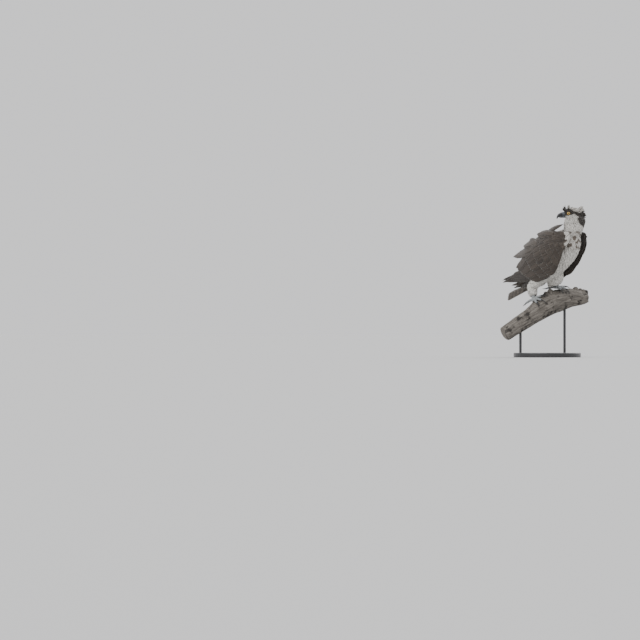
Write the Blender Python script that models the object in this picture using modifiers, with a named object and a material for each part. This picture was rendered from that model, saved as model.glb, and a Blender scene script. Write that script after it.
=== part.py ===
"""A life-size osprey gripping a short cut length of branch, held by a plain display stand.

The bird is modelled in its own frame (x forward, y to its left, z up) and the head in a frame
of its own. Two empties turn and carry those frames into the part's frame, whose origin is the
centre of the stand's underside.
"""

import math
import random

import bmesh
import bpy
from mathutils import Matrix, Vector
from mathutils.noise import noise

MM = 0.001
GAP = 0.3 * MM
SEED = 41

# Placement of the bird and of its turned head
BIRD_YAW = math.radians(-38)
BIRD_AT = Vector((41, -40, 0)) * MM
HEAD_AT = Vector((85, 0, 634)) * MM
HEAD_YAW = math.radians(-127)

# Trunk rings: centre x, centre z, half depth, half width, pitch of the trunk there in degrees
TRUNK = (
    (84, 550, 42, 43, 62),
    (73, 533, 60, 57, 58),
    (54, 508, 71, 68, 54),
    (27, 472, 73, 73, 50),
    (-10, 436, 69, 68, 46),
    (-50, 399, 62, 57, 42),
    (-86, 369, 48, 46, 36),
    (-110, 353, 28, 33, 30),
)
TRUNK_SIDES = 22
TRUNK_RINGS = 13

# Neck rings: centre x, centre z, half depth along the head's heading, half width across it
NECK = (
    (78, 528, 43, 43),
    (89, 552, 44, 42),
    (97, 575, 46.5, 38),
    (100.5, 594, 51.5, 34),
    (103, 611, 51, 29),
    (104, 624, 43, 26),
)
NECK_SIDES = 20
NECK_RINGS = 9

# Head rings in the head's frame: x, centre z, half width, half height
SKULL = (
    (35, -1, 11, 12),
    (31, 1, 14.5, 16),
    (24, 4, 19, 20.5),
    (14, 5, 22.5, 24.5),
    (2, 5, 25.5, 27),
    (-12, 4, 27, 28),
    (-26, 2, 25.5, 27),
    (-41, 0, 21, 23),
    (-52, -1, 13, 15),
    (-57, -1, 3, 4),
)
SKULL_SIDES = 22

EYE_AT = Vector((18, 14.8, 5)) * MM
EYE_RADIUS = 8.6 * MM
EYE_AXIS = Vector((0.26, 1, -0.02)).normalized()
LID_RADIUS = 1.5 * MM
LID_OUT = 0.62 * EYE_RADIUS
LID_RING = 0.86 * EYE_RADIUS
LID_POINTS = 12

# Line of the mouth on the left of the head, cut behind the bill
GAPE = ((38, 10, -5.2), (28, 16.4, -6.2), (20, 20.4, -8.5))
GAPE_RADIUS = 0.9 * MM

# Tousled rows of the head: place along it, spread in degrees, count, length, lift in degrees
CREST = (
    (29, 38, 3, 30, 118),
    (13, 26, 3, 17, 96),
    (8, 44, 3, 17, 26),
    (-12, 54, 4, 24, 14),
    (-30, 58, 4, 34, 48),
    (-44, 116, 5, 27, 40),
)
CREST_OVER_NECK = -25
CREST_WIDTH = 14 * MM
CREST_SUNK = 2.2 * MM
CREST_CURL = -2.5 * MM

# Tufts of the back between the wings: rows from the neck, step along the trunk, place of the first
TUFT_ROWS = 4
TUFT_STEP = 0.16
TUFT_START = 0.17
TUFT_ANGLE = 26
TUFT_WIDTH = 30 * MM

# Bill tubes in the head's frame: x, z, half width, half height
BILL_UPPER = (
    (35.3, 3, 8.6, 8),
    (44, 2.7, 7.6, 7),
    (53, 0.1, 6.2, 6.2),
    (60.5, -5.2, 5, 5.4),
    (65.5, -12.6, 3.4, 3.7),
    (67.5, -20, 1.3, 1.6),
)
BILL_LOWER = (
    (35.3, -10.2, 7.8, 4.8),
    (44, -10.4, 6.6, 4.4),
    (53, -11.4, 4.8, 3.6),
    (59, -13.4, 1.8, 1.4),
)
BILL_SIDES = 12
BILL_TIP = 0.5
NOSTRIL_AT = Vector((41.5, 6.6, 6)) * MM
NOSTRIL_SIZE = Vector((3.2, 1.6, 1.0)) * MM

# Tail: root and tip in the bird's frame, roll that lifts its left edge, half width at the tip
TAIL_ROOT = Vector((-110, 0, 338)) * MM
TAIL_TIP = Vector((-271, 0, 284)) * MM
TAIL_ROLL = math.radians(33)
TAIL_SPREAD = 45 * MM
TAIL_SAG = 5 * MM
# Core under the tail coverts: distance from the trunk, half width, half height
TAIL_CORE = ((22, 27, 18), (48, 25, 13), (74, 21, 8), (98, 14, 3))
TAIL_CORE_ROOT = (27, 19)
TAIL_CORE_DROP = 7 * MM
TAIL_SIDES = 18
RECTRICES = 12
RECTRIX_START = 18 * MM
RECTRIX_HALF_WIDTH = 11.5
# Distance from the tail's middle of the first feather and from each feather to the next
RECTRIX_NEAR = (3, 3.3)
RECTRIX_FAR = (4, 7.7)

# Wings: wrist and tip in the bird's frame for a wing on the left (y positive)
WRIST = Vector((104, 74, 540)) * MM
WING_TIP = {"left": Vector((-297, 14, 341)) * MM, "right": Vector((-280, 12, 334)) * MM}
WING_SPAN = {"left": 462, "right": 454}
# Outline of the folded wing along the span: distance, lower edge, upper edge
WING_OUTLINE = (
    (-9, -14, 9),
    (2, -33, 19),
    (45, -61, 47),
    (90, -91, 71),
    (136, -110, 79),
    (180, -110, 77),
    (240, -96, 60),
    (291, -78, 32),
    (345, -54, 22),
    (394, -28, 12),
    (450, 0, 2),
)
WING_BULGE = 32
WING_BULGE_END = 400
WING_NOSE = 17
WING_NOSE_END = 46
WING_HALF = 84
# How far the folded wing's edges lie inwards of its middle, under the belly and over the back
WING_WRAP_UNDER = 15
WING_WRAP_OVER = 34
WING_CORE_CELLS = 8
WING_CORE_LENGTH = 182
WING_CORE_INSET = 5
VANE_THICKNESS = 0.7 * MM
LOCK_THICKNESS = 0.8 * MM
LOCK_CAMBER = 0.06
LOCK_POINT = 0.1
VANE_STEP = 1.05
TIER_STEP = 2.7
# Secondaries, greater and median coverts: count, root and tip distance, extra reach at mid tier
# and at its upper edge, width over spacing, level, steps
WING_TIERS = (
    (8, 150, 265, 26, 68, 1.5, 1, 4),
    (7, 92, 186, 10, 20, 1.5, 2, 3),
    (6, 48, 126, 8, 0, 1.5, 3, 3),
)
PRIMARIES = 6
PRIMARY_ROOT = 128
PRIMARY_OVERLAP = 2.6
PRIMARY_LEVEL = -0.5
PRIMARY_TIP_STEP = 17

# Feathers of the back lifted by wind: root and tip on the folded wing, width, rise of the tip
LIFTED = {
    "left": (
        ((40, 32), (118, 66), 28, 7),
        ((84, 48), (172, 84), 30, 8),
        ((128, 56), (226, 78), 30, 8),
        ((156, 48), (266, 62), 30, 7),
        ((230, -80), (438, -30), 25, 5),
        ((215, -77), (432, -38), 16, 4),
    ),
    "right": (
        ((92, 60), (0, 55), 21, 6),
        ((44, 33), (112, 76), 25, 6),
        ((78, 54), (160, 94), 28, 8),
        ((156, 40), (230, 106), 30, 8),
        ((158, 54), (284, 99), 33, 8),
        ((166, 33), (364, 87), 38, 8),
    ),
}

# Legs in the bird's frame: hip, ankle, foot joint for the left leg and for the right leg
LEGS = {
    "left": (Vector((-14, 28, 404)), Vector((-50, 44, 337)), Vector((-40, 54, 317))),
    "right": (Vector((-26, -26, 402)), Vector((-106, -40, 312)), Vector((-87, -52, 257))),
}
# Radii from the hip to the ankle, then down the shank as far as its feathers reach
THIGH_RADII = {"left": (31, 38, 45, 47, 43, 33, 20), "right": (31, 34, 34, 29, 25, 29, 26)}
FEATHERED_SHANK = {"left": 0.5, "right": 0.7}
THIGH_FLATTEN = 0.78
SHANK_RADII = (14, 12.5, 10.5, 9.2, 9.2)
SHANK_SIDES = 12
SHANK_SUNK = 6 * MM
HUB_RADIUS = 10 * MM
HUB_ABOVE = 3 * MM
HUB_BELOW = 8 * MM
TOE_RADIUS = 6.4
# Toes: degrees from straight ahead, length, height that the toe and its claw's tip are held at
TOES = {
    "left": ((-26, 40, 0, 0), (12, 44, 0, 0), (52, 38, 0, 0), (205, 44, 8, 30)),
    "right": ((-40, 38, 0, 0), (-4, 44, 0, 0), (34, 38, 0, 0), (204, 38, 8, 24)),
}
TOE_STEPS = 6
TOE_SIDES = 9
CLAW_LENGTH = 25
CLAW_RADIUS = 3.7
CLAW_STEPS = 5
CLAW_SIDES = 7
CLAW_TIP = 0.5
CLAW_CLEAR = 0.7

# Branch: centre line in the part's frame and radius
BRANCH = (
    (-188, -95, 104, 34),
    (-126, -62, 145, 37.5),
    (-68, -31, 184.5, 40.5),
    (-10, 0, 228, 52),
    (43, 28, 250, 52),
    (97, 57, 264, 43.5),
    (142, 81, 264, 35),
    (176, 99, 265, 25.5),
)
BRANCH_SIDES = 16
BRANCH_RINGS = 20
BROKEN_RELIEF = 9 * MM
BROKEN_DIP = 5 * MM
BARK_RELIEF = 0.06
# Knobs on top of the branch: place along it, radius, how far towards the camera
KNOBS = ((0.44, 12, 14), (0.49, 14, 14), (0.80, 13, 0), (0.87, 11, 0), (0.93, 12, 0), (0.985, 10, 0))

BASE_RADIUS = 150 * MM
BASE_HEIGHT = 20 * MM
BASE_BEVEL = 3 * MM
BASE_SIDES = 48
ROD_RADIUS = 6 * MM
ROD_SIDES = 16
# Places along the branch that the two rods reach
ROD_PLACES = (0.16, 0.66)


# Small geometry


def smooth_curve(points, t):
    """The point at t (0 to 1) on a smooth curve through evenly spaced points."""
    spans = len(points) - 1
    place = min(max(t, 0.0), 1.0) * spans
    i = min(int(place), spans - 1)
    f = place - i
    p0, p1, p2, p3 = (Vector(points[min(max(i + k, 0), spans)]) for k in (-1, 0, 1, 2))
    return 0.5 * (2 * p1 + (p2 - p0) * f + (2 * p0 - 5 * p1 + 4 * p2 - p3) * f**2
                  + (3 * p1 - p0 - 3 * p2 + p3) * f**3)


def between(table, x, column):
    """Column of a table at x, read smoothly between its rows, which are in order of x."""
    for i in range(len(table) - 1):
        if x <= table[i + 1][0] or i == len(table) - 2:
            low, high = table[i], table[i + 1]
            f = min(max((x - low[0]) / (high[0] - low[0]), 0.0), 1.0)
            return low[column] + (high[column] - low[column]) * f


def ellipse(centre, across, up, half_width, half_height, sides):
    """A ring of points round a centre, in the plane of two unit vectors."""
    ring = []
    for i in range(sides):
        angle = math.tau * i / sides
        ring.append(centre + across * (half_width * math.cos(angle))
                    + up * (half_height * math.sin(angle)))
    return ring


def loft(rings):
    """A closed body through rings of equal count, with flat caps."""
    bm = bmesh.new()
    loops = [[bm.verts.new(p) for p in ring] for ring in rings]
    for low, high in zip(loops, loops[1:]):
        for i in range(len(low)):
            j = (i + 1) % len(low)
            bm.faces.new((low[i], low[j], high[j], high[i]))
    bm.faces.new(loops[0])
    bm.faces.new(loops[-1])
    bmesh.ops.recalc_face_normals(bm, faces=bm.faces[:])
    return bm


def tube(path, radii, sides):
    """A closed tube along a path, with a width and a height at each point."""
    across = None
    rings = []
    for i, centre in enumerate(path):
        ahead = (path[min(i + 1, len(path) - 1)] - path[max(i - 1, 0)]).normalized()
        if across is None:
            across = ahead.cross(Vector((0, 0, 1)))
            if across.length < 0.1:
                across = ahead.cross(Vector((0, 1, 0)))
        across = (across - ahead * across.dot(ahead)).normalized()
        up = across.cross(ahead)
        half_width, half_height = radii[i]
        rings.append(ellipse(centre, across, up, half_width, half_height, sides))
    return loft(rings)


def ring_tube(points, radius, sides):
    """A closed tube round a ring of points."""
    bm = bmesh.new()
    count = len(points)
    centre = sum(points, Vector()) / count
    loops = []
    for i, p in enumerate(points):
        ahead = (points[(i + 1) % count] - points[i - 1]).normalized()
        across = (p - centre).normalized()
        ring = ellipse(p, across, across.cross(ahead), radius, radius, sides)
        loops.append([bm.verts.new(q) for q in ring])
    for i in range(count):
        low, high = loops[i], loops[(i + 1) % count]
        for k in range(sides):
            m = (k + 1) % sides
            bm.faces.new((low[k], low[m], high[m], high[k]))
    bmesh.ops.recalc_face_normals(bm, faces=bm.faces[:])
    return bm


def ball(centre, radius, subdivisions):
    bm = bmesh.new()
    bmesh.ops.create_icosphere(bm, subdivisions=subdivisions, radius=radius,
                               matrix=Matrix.Translation(centre))
    return bm


def vane(surface, thickness=VANE_THICKNESS, steps=5, across=1):
    """A thin closed plate over surface(-1 to 1 across, 0 to 1 along), split alike on both faces."""
    bm = bmesh.new()
    bmesh.ops.create_grid(bm, x_segments=across, y_segments=steps, size=1)
    bmesh.ops.triangulate(bm, faces=bm.faces[:])
    for v in bm.verts:
        v.co = surface(v.co.x, 1 - ((1 - v.co.y) / 2) ** 1.35)
    bm.normal_update()
    normals = [v.normal.copy() for v in bm.verts]
    count = len(normals)
    solid = bmesh.ops.extrude_face_region(bm, geom=bm.faces[:])
    raised = [g for g in solid["geom"] if isinstance(g, bmesh.types.BMVert)]
    bm.verts.ensure_lookup_table()
    for v in raised:
        twin = min(range(count), key=lambda k: (bm.verts[k].co - v.co).length_squared)
        v.co = v.co + normals[twin] * thickness
    bmesh.ops.recalc_face_normals(bm, faces=bm.faces[:])
    return bm


def vane_width(v):
    """How wide a feather is along its length, as a share of its full width."""
    root = min(1.0, 0.55 + 1.5 * v)
    return root * max(0.12, 1 - max(0.0, (v - 0.7) / 0.3) ** 2.2)


# Objects, unions and cuts


def collection(name):
    made = bpy.data.collections.new(name)
    bpy.context.scene.collection.children.link(made)
    return made


def material(name, colour, roughness, metallic=0.0):
    made = bpy.data.materials.new(name)
    made.use_nodes = True
    shader = made.node_tree.nodes["Principled BSDF"]
    shader.inputs["Base Color"].default_value = (*colour, 1)
    shader.inputs["Roughness"].default_value = roughness
    shader.inputs["Metallic"].default_value = metallic
    return made


def add_object(name, bm, group, parent=None, finish=None):
    """An object from a bmesh, which is freed, in its parent's frame."""
    mesh = bpy.data.meshes.new(name)
    bm.to_mesh(mesh)
    bm.free()
    made = bpy.data.objects.new(name, mesh)
    group.objects.link(made)
    made.parent = parent
    if finish:
        mesh.materials.append(finish)
    return made


def apply_modifiers(obj):
    bpy.context.view_layer.update()
    seen = obj.evaluated_get(bpy.context.evaluated_depsgraph_get())
    mesh = bpy.data.meshes.new_from_object(seen)
    obj.modifiers.clear()
    obj.data = mesh


def keep_largest(obj):
    """Keep the largest closed surface of a mesh, and drop loose scraps and sealed hollows."""
    bm = bmesh.new()
    bm.from_mesh(obj.data)
    bmesh.ops.remove_doubles(bm, verts=bm.verts[:], dist=2e-6)
    bmesh.ops.dissolve_degenerate(bm, edges=bm.edges[:], dist=2e-6)
    unseen = set(bm.verts)
    shells = []
    while unseen:
        seed = unseen.pop()
        shell, edge_of = {seed}, [seed]
        while edge_of:
            for edge in edge_of.pop().link_edges:
                for v in edge.verts:
                    if v in unseen:
                        unseen.discard(v)
                        shell.add(v)
                        edge_of.append(v)
        shells.append(shell)
    shells.sort(key=len)
    bmesh.ops.delete(bm, geom=[v for shell in shells[:-1] for v in shell], context="VERTS")
    bm.to_mesh(obj.data)
    bm.free()


def boolean(obj, operation, operands, solver="EXACT"):
    """Apply one Boolean with a collection of closed operands, which are then removed."""
    group = collection("operands")
    for operand in operands:
        group.objects.link(operand)
    modifier = obj.modifiers.new(operation.lower(), "BOOLEAN")
    modifier.operation = operation
    modifier.operand_type = "COLLECTION"
    modifier.collection = group
    modifier.solver = solver
    apply_modifiers(obj)
    for operand in operands:
        bpy.data.objects.remove(operand)
    bpy.data.collections.remove(group)
    keep_largest(obj)


# Frames and surfaces that the pieces share


def bird_matrix():
    return Matrix.Translation(BIRD_AT) @ Matrix.Rotation(BIRD_YAW, 4, "Z")


def add_frame(name, place, yaw, group, parent=None):
    frame = bpy.data.objects.new(name, None)
    frame.location = place
    frame.rotation_euler = (0, 0, yaw)
    frame.parent = parent
    group.objects.link(frame)
    return frame


def trunk_point(t, angle, off=0.0):
    """A point on the trunk: t from neck (0) to tail (1), angle from the back towards the left."""
    x, z, depth = smooth_curve([row[:3] for row in TRUNK], t)
    width, pitch, _ = smooth_curve([(row[3], row[4], 0) for row in TRUNK], t)
    pitch = math.radians(pitch)
    dorsal = Vector((-math.sin(pitch), 0, math.cos(pitch)))
    centre = Vector((x, 0, z)) * MM
    return (centre + dorsal * ((depth * MM + off) * math.cos(angle))
            + Vector((0, (width * MM + off) * math.sin(angle), 0)))


def trunk_end(t):
    """The trunk's axis at an end, pointing from the neck to the tail."""
    pitch = math.radians(TRUNK[0][4] if t == 0 else TRUNK[-1][4])
    return Vector((-math.cos(pitch), 0, -math.sin(pitch)))


def trunk(off=0.0, rings=TRUNK_RINGS):
    """The trunk as a loft, grown by off all round."""
    rows = []
    for i in range(rings):
        t = i / (rings - 1)
        shift = trunk_end(t) * (off if i == rings - 1 else -off if i == 0 else 0)
        rows.append([trunk_point(t, math.tau * k / TRUNK_SIDES, off) + shift
                     for k in range(TRUNK_SIDES)])
    return loft(rows)


def skull_point(x, angle, off=0.0):
    """A point on the skull in the head's frame: x along it in mm, angle from the crown to the left."""
    table = sorted(SKULL)
    centre, width, height = (between(table, x, k) * MM for k in (1, 2, 3))
    return Vector((x * MM, (width + off) * math.sin(angle), centre + (height + off) * math.cos(angle)))


def skull(off=0.0):
    rows = []
    for i, (x, centre, width, height) in enumerate(SKULL):
        shift = off if i == 0 else -off if i == len(SKULL) - 1 else 0
        middle = Vector((x * MM + shift, 0, centre * MM))
        rows.append(ellipse(middle, Vector((0, 1, 0)), Vector((0, 0, 1)), width * MM + off,
                            height * MM + off, SKULL_SIDES))
    return loft(rows)


def lock(root, along, normal, length, width, curl, steps=4):
    """A flat pointed lock that leaves its root along one direction and bends towards its normal."""
    side = along.cross(normal).normalized()

    def surface(u, v):
        across = u * width / 2 * (1 - (1 - LOCK_POINT) * v**1.7)
        return (root + along * (length * v) + side * across
                + normal * (curl * v * v - u * u * width * LOCK_CAMBER))

    return vane(surface, thickness=LOCK_THICKNESS, steps=steps)


# The bird's flesh


def add_torso(group, parent, finish):
    torso = add_object("torso", trunk(), group, parent, finish)
    draw = random.Random(SEED)
    tufts = []
    for row in range(TUFT_ROWS):
        for k in range(2):
            t = TUFT_START + TUFT_STEP * row
            angle = math.radians(TUFT_ANGLE * (k - 0.5) + (8 if row % 2 else -8))
            root = trunk_point(t, angle, -3 * MM)
            normal = (trunk_point(t, angle, MM) - trunk_point(t, angle)).normalized()
            along = (trunk_point(t + 0.05, angle) - trunk_point(t, angle)).normalized()
            lift = math.radians(draw.uniform(12, 24))
            along = along * math.cos(lift) + normal * math.sin(lift)
            length = draw.uniform(48, 62) * MM
            bm = lock(root, along, normal, length, TUFT_WIDTH, draw.uniform(-8, 2) * MM)
            tufts.append(add_object("tuft", bm, group, parent))
    boolean(torso, "UNION", tufts)


def neck_column(off=0.0, rings=NECK_RINGS):
    """The neck as level rings, longer along the head's heading than across it."""
    ahead = Vector((math.cos(HEAD_YAW), math.sin(HEAD_YAW), 0))
    aside = Vector((-ahead.y, ahead.x, 0))
    rows = []
    for i in range(rings):
        t = i / (rings - 1)
        x, z, depth = smooth_curve([row[:3] for row in NECK], t) * MM
        width = smooth_curve([(row[3], 0, 0) for row in NECK], t).x * MM
        rows.append(ellipse(Vector((x, 0, z)), ahead, aside, depth + off, width + off, NECK_SIDES))
    return loft(rows)


def add_neck(group, parent, finish, head_frame):
    neck = add_object("neck", neck_column(), group, parent, finish)
    below = add_object("cut", trunk(GAP), group, parent)
    above = add_object("cut", skull(GAP), group, head_frame)
    boolean(neck, "DIFFERENCE", (below, above))


def eye_centre(side):
    return Vector((EYE_AT.x, EYE_AT.y * side, EYE_AT.z))


def add_head(group, frame, finish):
    """The skull with its lids, the line of the mouth and the tousled feathers of crown and nape."""
    head = add_object("head", skull(), group, frame, finish)
    draw = random.Random(SEED + 1)
    pieces = []
    for x, spread, count, length, lift in CREST:
        for k in range(count):
            angle = math.radians(spread * (2 * k / (count - 1) - 1) + draw.uniform(-4, 4))
            root = skull_point(x, angle, -CREST_SUNK)
            normal = (skull_point(x, angle, MM) - skull_point(x, angle)).normalized()
            along = (skull_point(x - 4, angle) - skull_point(x, angle)).normalized()
            rise = math.radians(lift + draw.uniform(-8, 8))
            along = along * math.cos(rise) + normal * math.sin(rise)
            reach = length * draw.uniform(0.85, 1.1) * MM
            bm = lock(root, along, normal, reach, CREST_WIDTH, CREST_CURL, steps=3)
            piece = add_object("crest", bm, group, frame)
            if x < CREST_OVER_NECK:
                boolean(piece, "DIFFERENCE", [add_object("cut", neck_column(GAP), group, frame.parent)])
            pieces.append(piece)
    for side in (1, -1):
        out = Vector((EYE_AXIS.x, EYE_AXIS.y * side, EYE_AXIS.z))
        middle = eye_centre(side) + out * LID_OUT
        round_eye = out.cross(Vector((0, 0, 1))).normalized()
        above = round_eye.cross(out)
        ring = ellipse(middle, round_eye, above, LID_RING, LID_RING, LID_POINTS)
        pieces.append(add_object("lid", ring_tube(ring, LID_RADIUS, 5), group, frame))
    boolean(head, "UNION", pieces)
    cutters = []
    for side in (1, -1):
        cutters.append(add_object("cut", ball(eye_centre(side), EYE_RADIUS + GAP, 2), group, frame))
        gape = [Vector((x, side * y, z)) * MM for x, y, z in GAPE]
        cutters.append(add_object("cut", tube(gape, [(GAPE_RADIUS, GAPE_RADIUS)] * 3, 6), group, frame))
    boolean(head, "DIFFERENCE", cutters)


def add_eyes(group, frame, finish):
    for name, side in (("eye_left", 1), ("eye_right", -1)):
        add_object(name, ball(eye_centre(side), EYE_RADIUS, 2), group, frame, finish)


def bill_tube(table, off=0.0):
    path = [Vector((x, 0, z)) * MM for x, z, _, _ in table]
    steps = 2 * len(table) - 1
    smooth = [smooth_curve(path, i / (steps - 1)) for i in range(steps)]
    sizes = [(w, h, 0) for _, _, w, h in table]
    radii = []
    for i in range(steps):
        width, height, _ = smooth_curve(sizes, i / (steps - 1))
        radii.append((max(width, BILL_TIP) * MM + off, max(height, BILL_TIP) * MM + off))
    return tube(smooth, radii, BILL_SIDES)


def add_bill(group, frame, finish):
    upper = add_object("bill_upper", bill_tube(BILL_UPPER), group, frame, finish)
    nostrils = []
    for side in (1, -1):
        bm = ball(Vector(), 1.0, 2)
        bmesh.ops.scale(bm, vec=NOSTRIL_SIZE, verts=bm.verts[:])
        place = Vector((NOSTRIL_AT.x, NOSTRIL_AT.y * side, NOSTRIL_AT.z))
        bmesh.ops.translate(bm, vec=place, verts=bm.verts[:])
        nostrils.append(add_object("cut", bm, group, frame))
    boolean(upper, "DIFFERENCE", nostrils)
    lower = add_object("bill_lower", bill_tube(BILL_LOWER), group, frame, finish)
    boolean(lower, "DIFFERENCE", [add_object("cut", bill_tube(BILL_UPPER, GAP), group, frame)])


# Tail and wings


def add_tail(group, parent, finish):
    along = (TAIL_TIP - TAIL_ROOT).normalized()
    level = Vector((0, 1, 0))
    aside = level * math.cos(TAIL_ROLL) + level.cross(along) * math.sin(TAIL_ROLL)
    dorsal = aside.cross(along)
    length = (TAIL_TIP - TAIL_ROOT).length
    end = trunk_end(1)
    start = Vector((TRUNK[-1][0], 0, TRUNK[-1][1])) * MM + end * GAP
    width, height = TAIL_CORE_ROOT
    rows = [ellipse(start, level, level.cross(end), width * MM, height * MM, TAIL_SIDES)]
    for reach, width, height in TAIL_CORE:
        middle = start + along * (reach * MM) - dorsal * TAIL_CORE_DROP
        rows.append(ellipse(middle, aside, dorsal, width * MM, height * MM, TAIL_SIDES))
    tail = add_object("tail", loft(rows), group, parent, finish)
    vanes = []
    for k in range(RECTRICES // 2):
        for side in (1, -1):
            drop = (k + (0.5 if side < 0 else 0)) * VANE_STEP * MM
            near, far = (side * (first + step * k) * MM for first, step in (RECTRIX_NEAR, RECTRIX_FAR))
            reach = length - 1.6 * k * MM

            def surface(u, v):
                middle = TAIL_ROOT + along * (RECTRIX_START + (reach - RECTRIX_START) * v)
                lateral = near + (far - near) * v + u * RECTRIX_HALF_WIDTH * MM * vane_width(v)
                sag = TAIL_SAG * (lateral / TAIL_SPREAD) ** 2
                return middle + aside * lateral - dorsal * (drop + sag)

            vanes.append(add_object("rectrix", vane(surface, steps=5), group, parent))
    boolean(tail, "UNION", vanes)
    clear_of = (trunk(GAP), thigh("left", GAP), thigh("right", GAP))
    boolean(tail, "DIFFERENCE", [add_object("cut", bm, group, parent) for bm in clear_of])


def wing_frame(side):
    """Wrist, the direction to the tip, the dorsal direction and outwards, for a left wing."""
    along = (WING_TIP[side] - WRIST).normalized()
    out = Vector((0, 1, 0))
    out = (out - along * out.dot(along)).normalized()
    return along, out.cross(along), out


def wing_point(side, a, b, off):
    """A point on the folded wing: a along it, b up it and off outwards, all in mm."""
    along, dorsal, out = wing_frame(side)
    low, high = between(WING_OUTLINE, a, 1), between(WING_OUTLINE, a, 2)
    middle = (low + high) / 2
    bulge = WING_BULGE * math.sin(math.pi * min(max(a / WING_BULGE_END, 0), 1))
    wrap = (WING_WRAP_OVER if b > middle else WING_WRAP_UNDER) * ((b - middle) / WING_HALF) ** 2
    nose = WING_NOSE * (1 - min(max(a, WING_OUTLINE[0][0]), WING_NOSE_END) / WING_NOSE_END) ** 2
    point = WRIST + (along * a + dorsal * b + out * (bulge - wrap - nose + off)) * MM
    return point if side == "left" else Vector((point.x, -point.y, point.z))


def wing_ramp(a):
    """The height of the wing's core over its lowest feathers."""
    return 13.2 - 0.056 * max(a, 0)


def wing_core(side):
    """The arm and hand under the coverts, thick at the wrist and thin at the rear."""
    bm = bmesh.new()
    bmesh.ops.create_grid(bm, x_segments=WING_CORE_CELLS, y_segments=WING_CORE_CELLS, size=1)
    bmesh.ops.triangulate(bm, faces=bm.faces[:])
    places = []
    for v in bm.verts:
        u, w = v.co.x, (v.co.y + 1) / 2
        a = WING_OUTLINE[0][0] + WING_CORE_LENGTH * w
        low = between(WING_OUTLINE, a, 1) + WING_CORE_INSET
        high = between(WING_OUTLINE, a, 2) - WING_CORE_INSET
        b = low + (high - low) * (u + 1) / 2
        edge = 5 * u**4 + 5 * max(1 - w / 0.12, 0)
        depth = (30 - 15 * w) * (1 - 0.6 * u**4) * min(1, 0.3 + 7 * w)
        places.append((a, b, wing_ramp(a) - edge, depth))
        v.co = wing_point(side, a, b, wing_ramp(a) - edge)
    flats = bm.verts[:]
    grown = bmesh.ops.extrude_face_region(bm, geom=bm.faces[:])
    raised = [g for g in grown["geom"] if isinstance(g, bmesh.types.BMVert)]
    for v in raised:
        twin = min(range(len(places)), key=lambda k: (flats[k].co - v.co).length_squared)
        a, b, off, depth = places[twin]
        v.co = wing_point(side, a, b, off - depth)
    bmesh.ops.recalc_face_normals(bm, faces=bm.faces[:])
    return bm


def wing_vane(side, a_root, a_tip, axis, spacing, overlap, level, lift=0.0, steps=5):
    """A feather of the folded wing along axis(a), tilted so that its row shingles.

    Its width is its overlap times the row's spacing(a), and the tilt lifts it by one step over
    the feather below it.
    """

    def surface(u, v):
        a = a_root + (a_tip - a_root) * v
        across = u * overlap / 2 * vane_width(v)
        off = level * TIER_STEP - VANE_STEP * across + lift * v * v
        return wing_point(side, a, axis(a) + across * spacing(a), off)

    return vane(surface, steps=steps)


def lifted_vane(side, root, tip, width, rise):
    """A feather of the back that the wind lifts, from and to a place (a, b) on the folded wing."""
    (a0, b0), (a1, b1) = root, tip
    run = math.hypot(a1 - a0, b1 - b0)
    turn_a, turn_b = -(b1 - b0) / run, (a1 - a0) / run

    def surface(u, v):
        across = u * width / 2 * vane_width(v) * (1 - 0.3 * v)
        a, b = a0 + (a1 - a0) * v + turn_a * across, b0 + (b1 - b0) * v + turn_b * across
        return wing_point(side, a, b, wing_ramp(a0) - 3 + rise * v)

    return vane(surface, thickness=LOCK_THICKNESS, steps=4)


def add_wing(side, group, parent, finish):
    wing = add_object("wing_" + side, wing_core(side), group, parent, finish)
    draw = random.Random(SEED + 2 if side == "left" else SEED + 3)
    vanes = []
    for k in range(PRIMARIES):
        def spacing(a):
            return 9 - 3.2 * min(max((a - 120) / 330, 0), 1) ** 2

        def axis(a, k=k):
            return between(WING_OUTLINE, a, 1) + spacing(a) * (k + 1.4)
        tip = WING_SPAN[side] - PRIMARY_TIP_STEP * k + draw.uniform(-3, 3)
        vanes.append(wing_vane(side, PRIMARY_ROOT + 2 * k, tip, axis, spacing, PRIMARY_OVERLAP,
                               PRIMARY_LEVEL, steps=5))
    for count, root, tip, reach, upper_reach, overlap, level, steps in WING_TIERS:
        def spacing(a, count=count):
            return (between(WING_OUTLINE, a, 2) - between(WING_OUTLINE, a, 1)) / count

        for k in range(count):
            place = k + 0.5

            def axis(a, place=place):
                return between(WING_OUTLINE, a, 1) + spacing(a) * place
            end = tip + reach * math.sin(math.pi * place / count) + upper_reach * (place / count) ** 1.8
            end += draw.uniform(-4, 4)
            lift = draw.uniform(0, 0.3)
            vanes.append(wing_vane(side, root, end, axis, spacing, overlap, level, lift, steps))
    for row in LIFTED[side]:
        vanes.append(lifted_vane(side, *row))
    pieces = [add_object("vane", bm, group, parent) for bm in vanes]
    boolean(wing, "UNION", pieces)
    clear_of = (trunk(GAP), neck_column(GAP), thigh(side, GAP))
    boolean(wing, "DIFFERENCE", [add_object("cut", bm, group, parent) for bm in clear_of])


# Legs, feet and claws


def thigh(side, off=0.0):
    hip, ankle, joint = (p * MM for p in LEGS[side])
    path = [hip.lerp(ankle, i / 4) for i in range(5)]
    path += [ankle.lerp(joint, share * FEATHERED_SHANK[side]) for share in (0.5, 1)]
    path[-1] = path[-1] + (joint - ankle).normalized() * off
    radii = [(r * THIGH_FLATTEN * MM + off, r * MM + off) for r in THIGH_RADII[side]]
    return tube(path, radii, 16)


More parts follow.
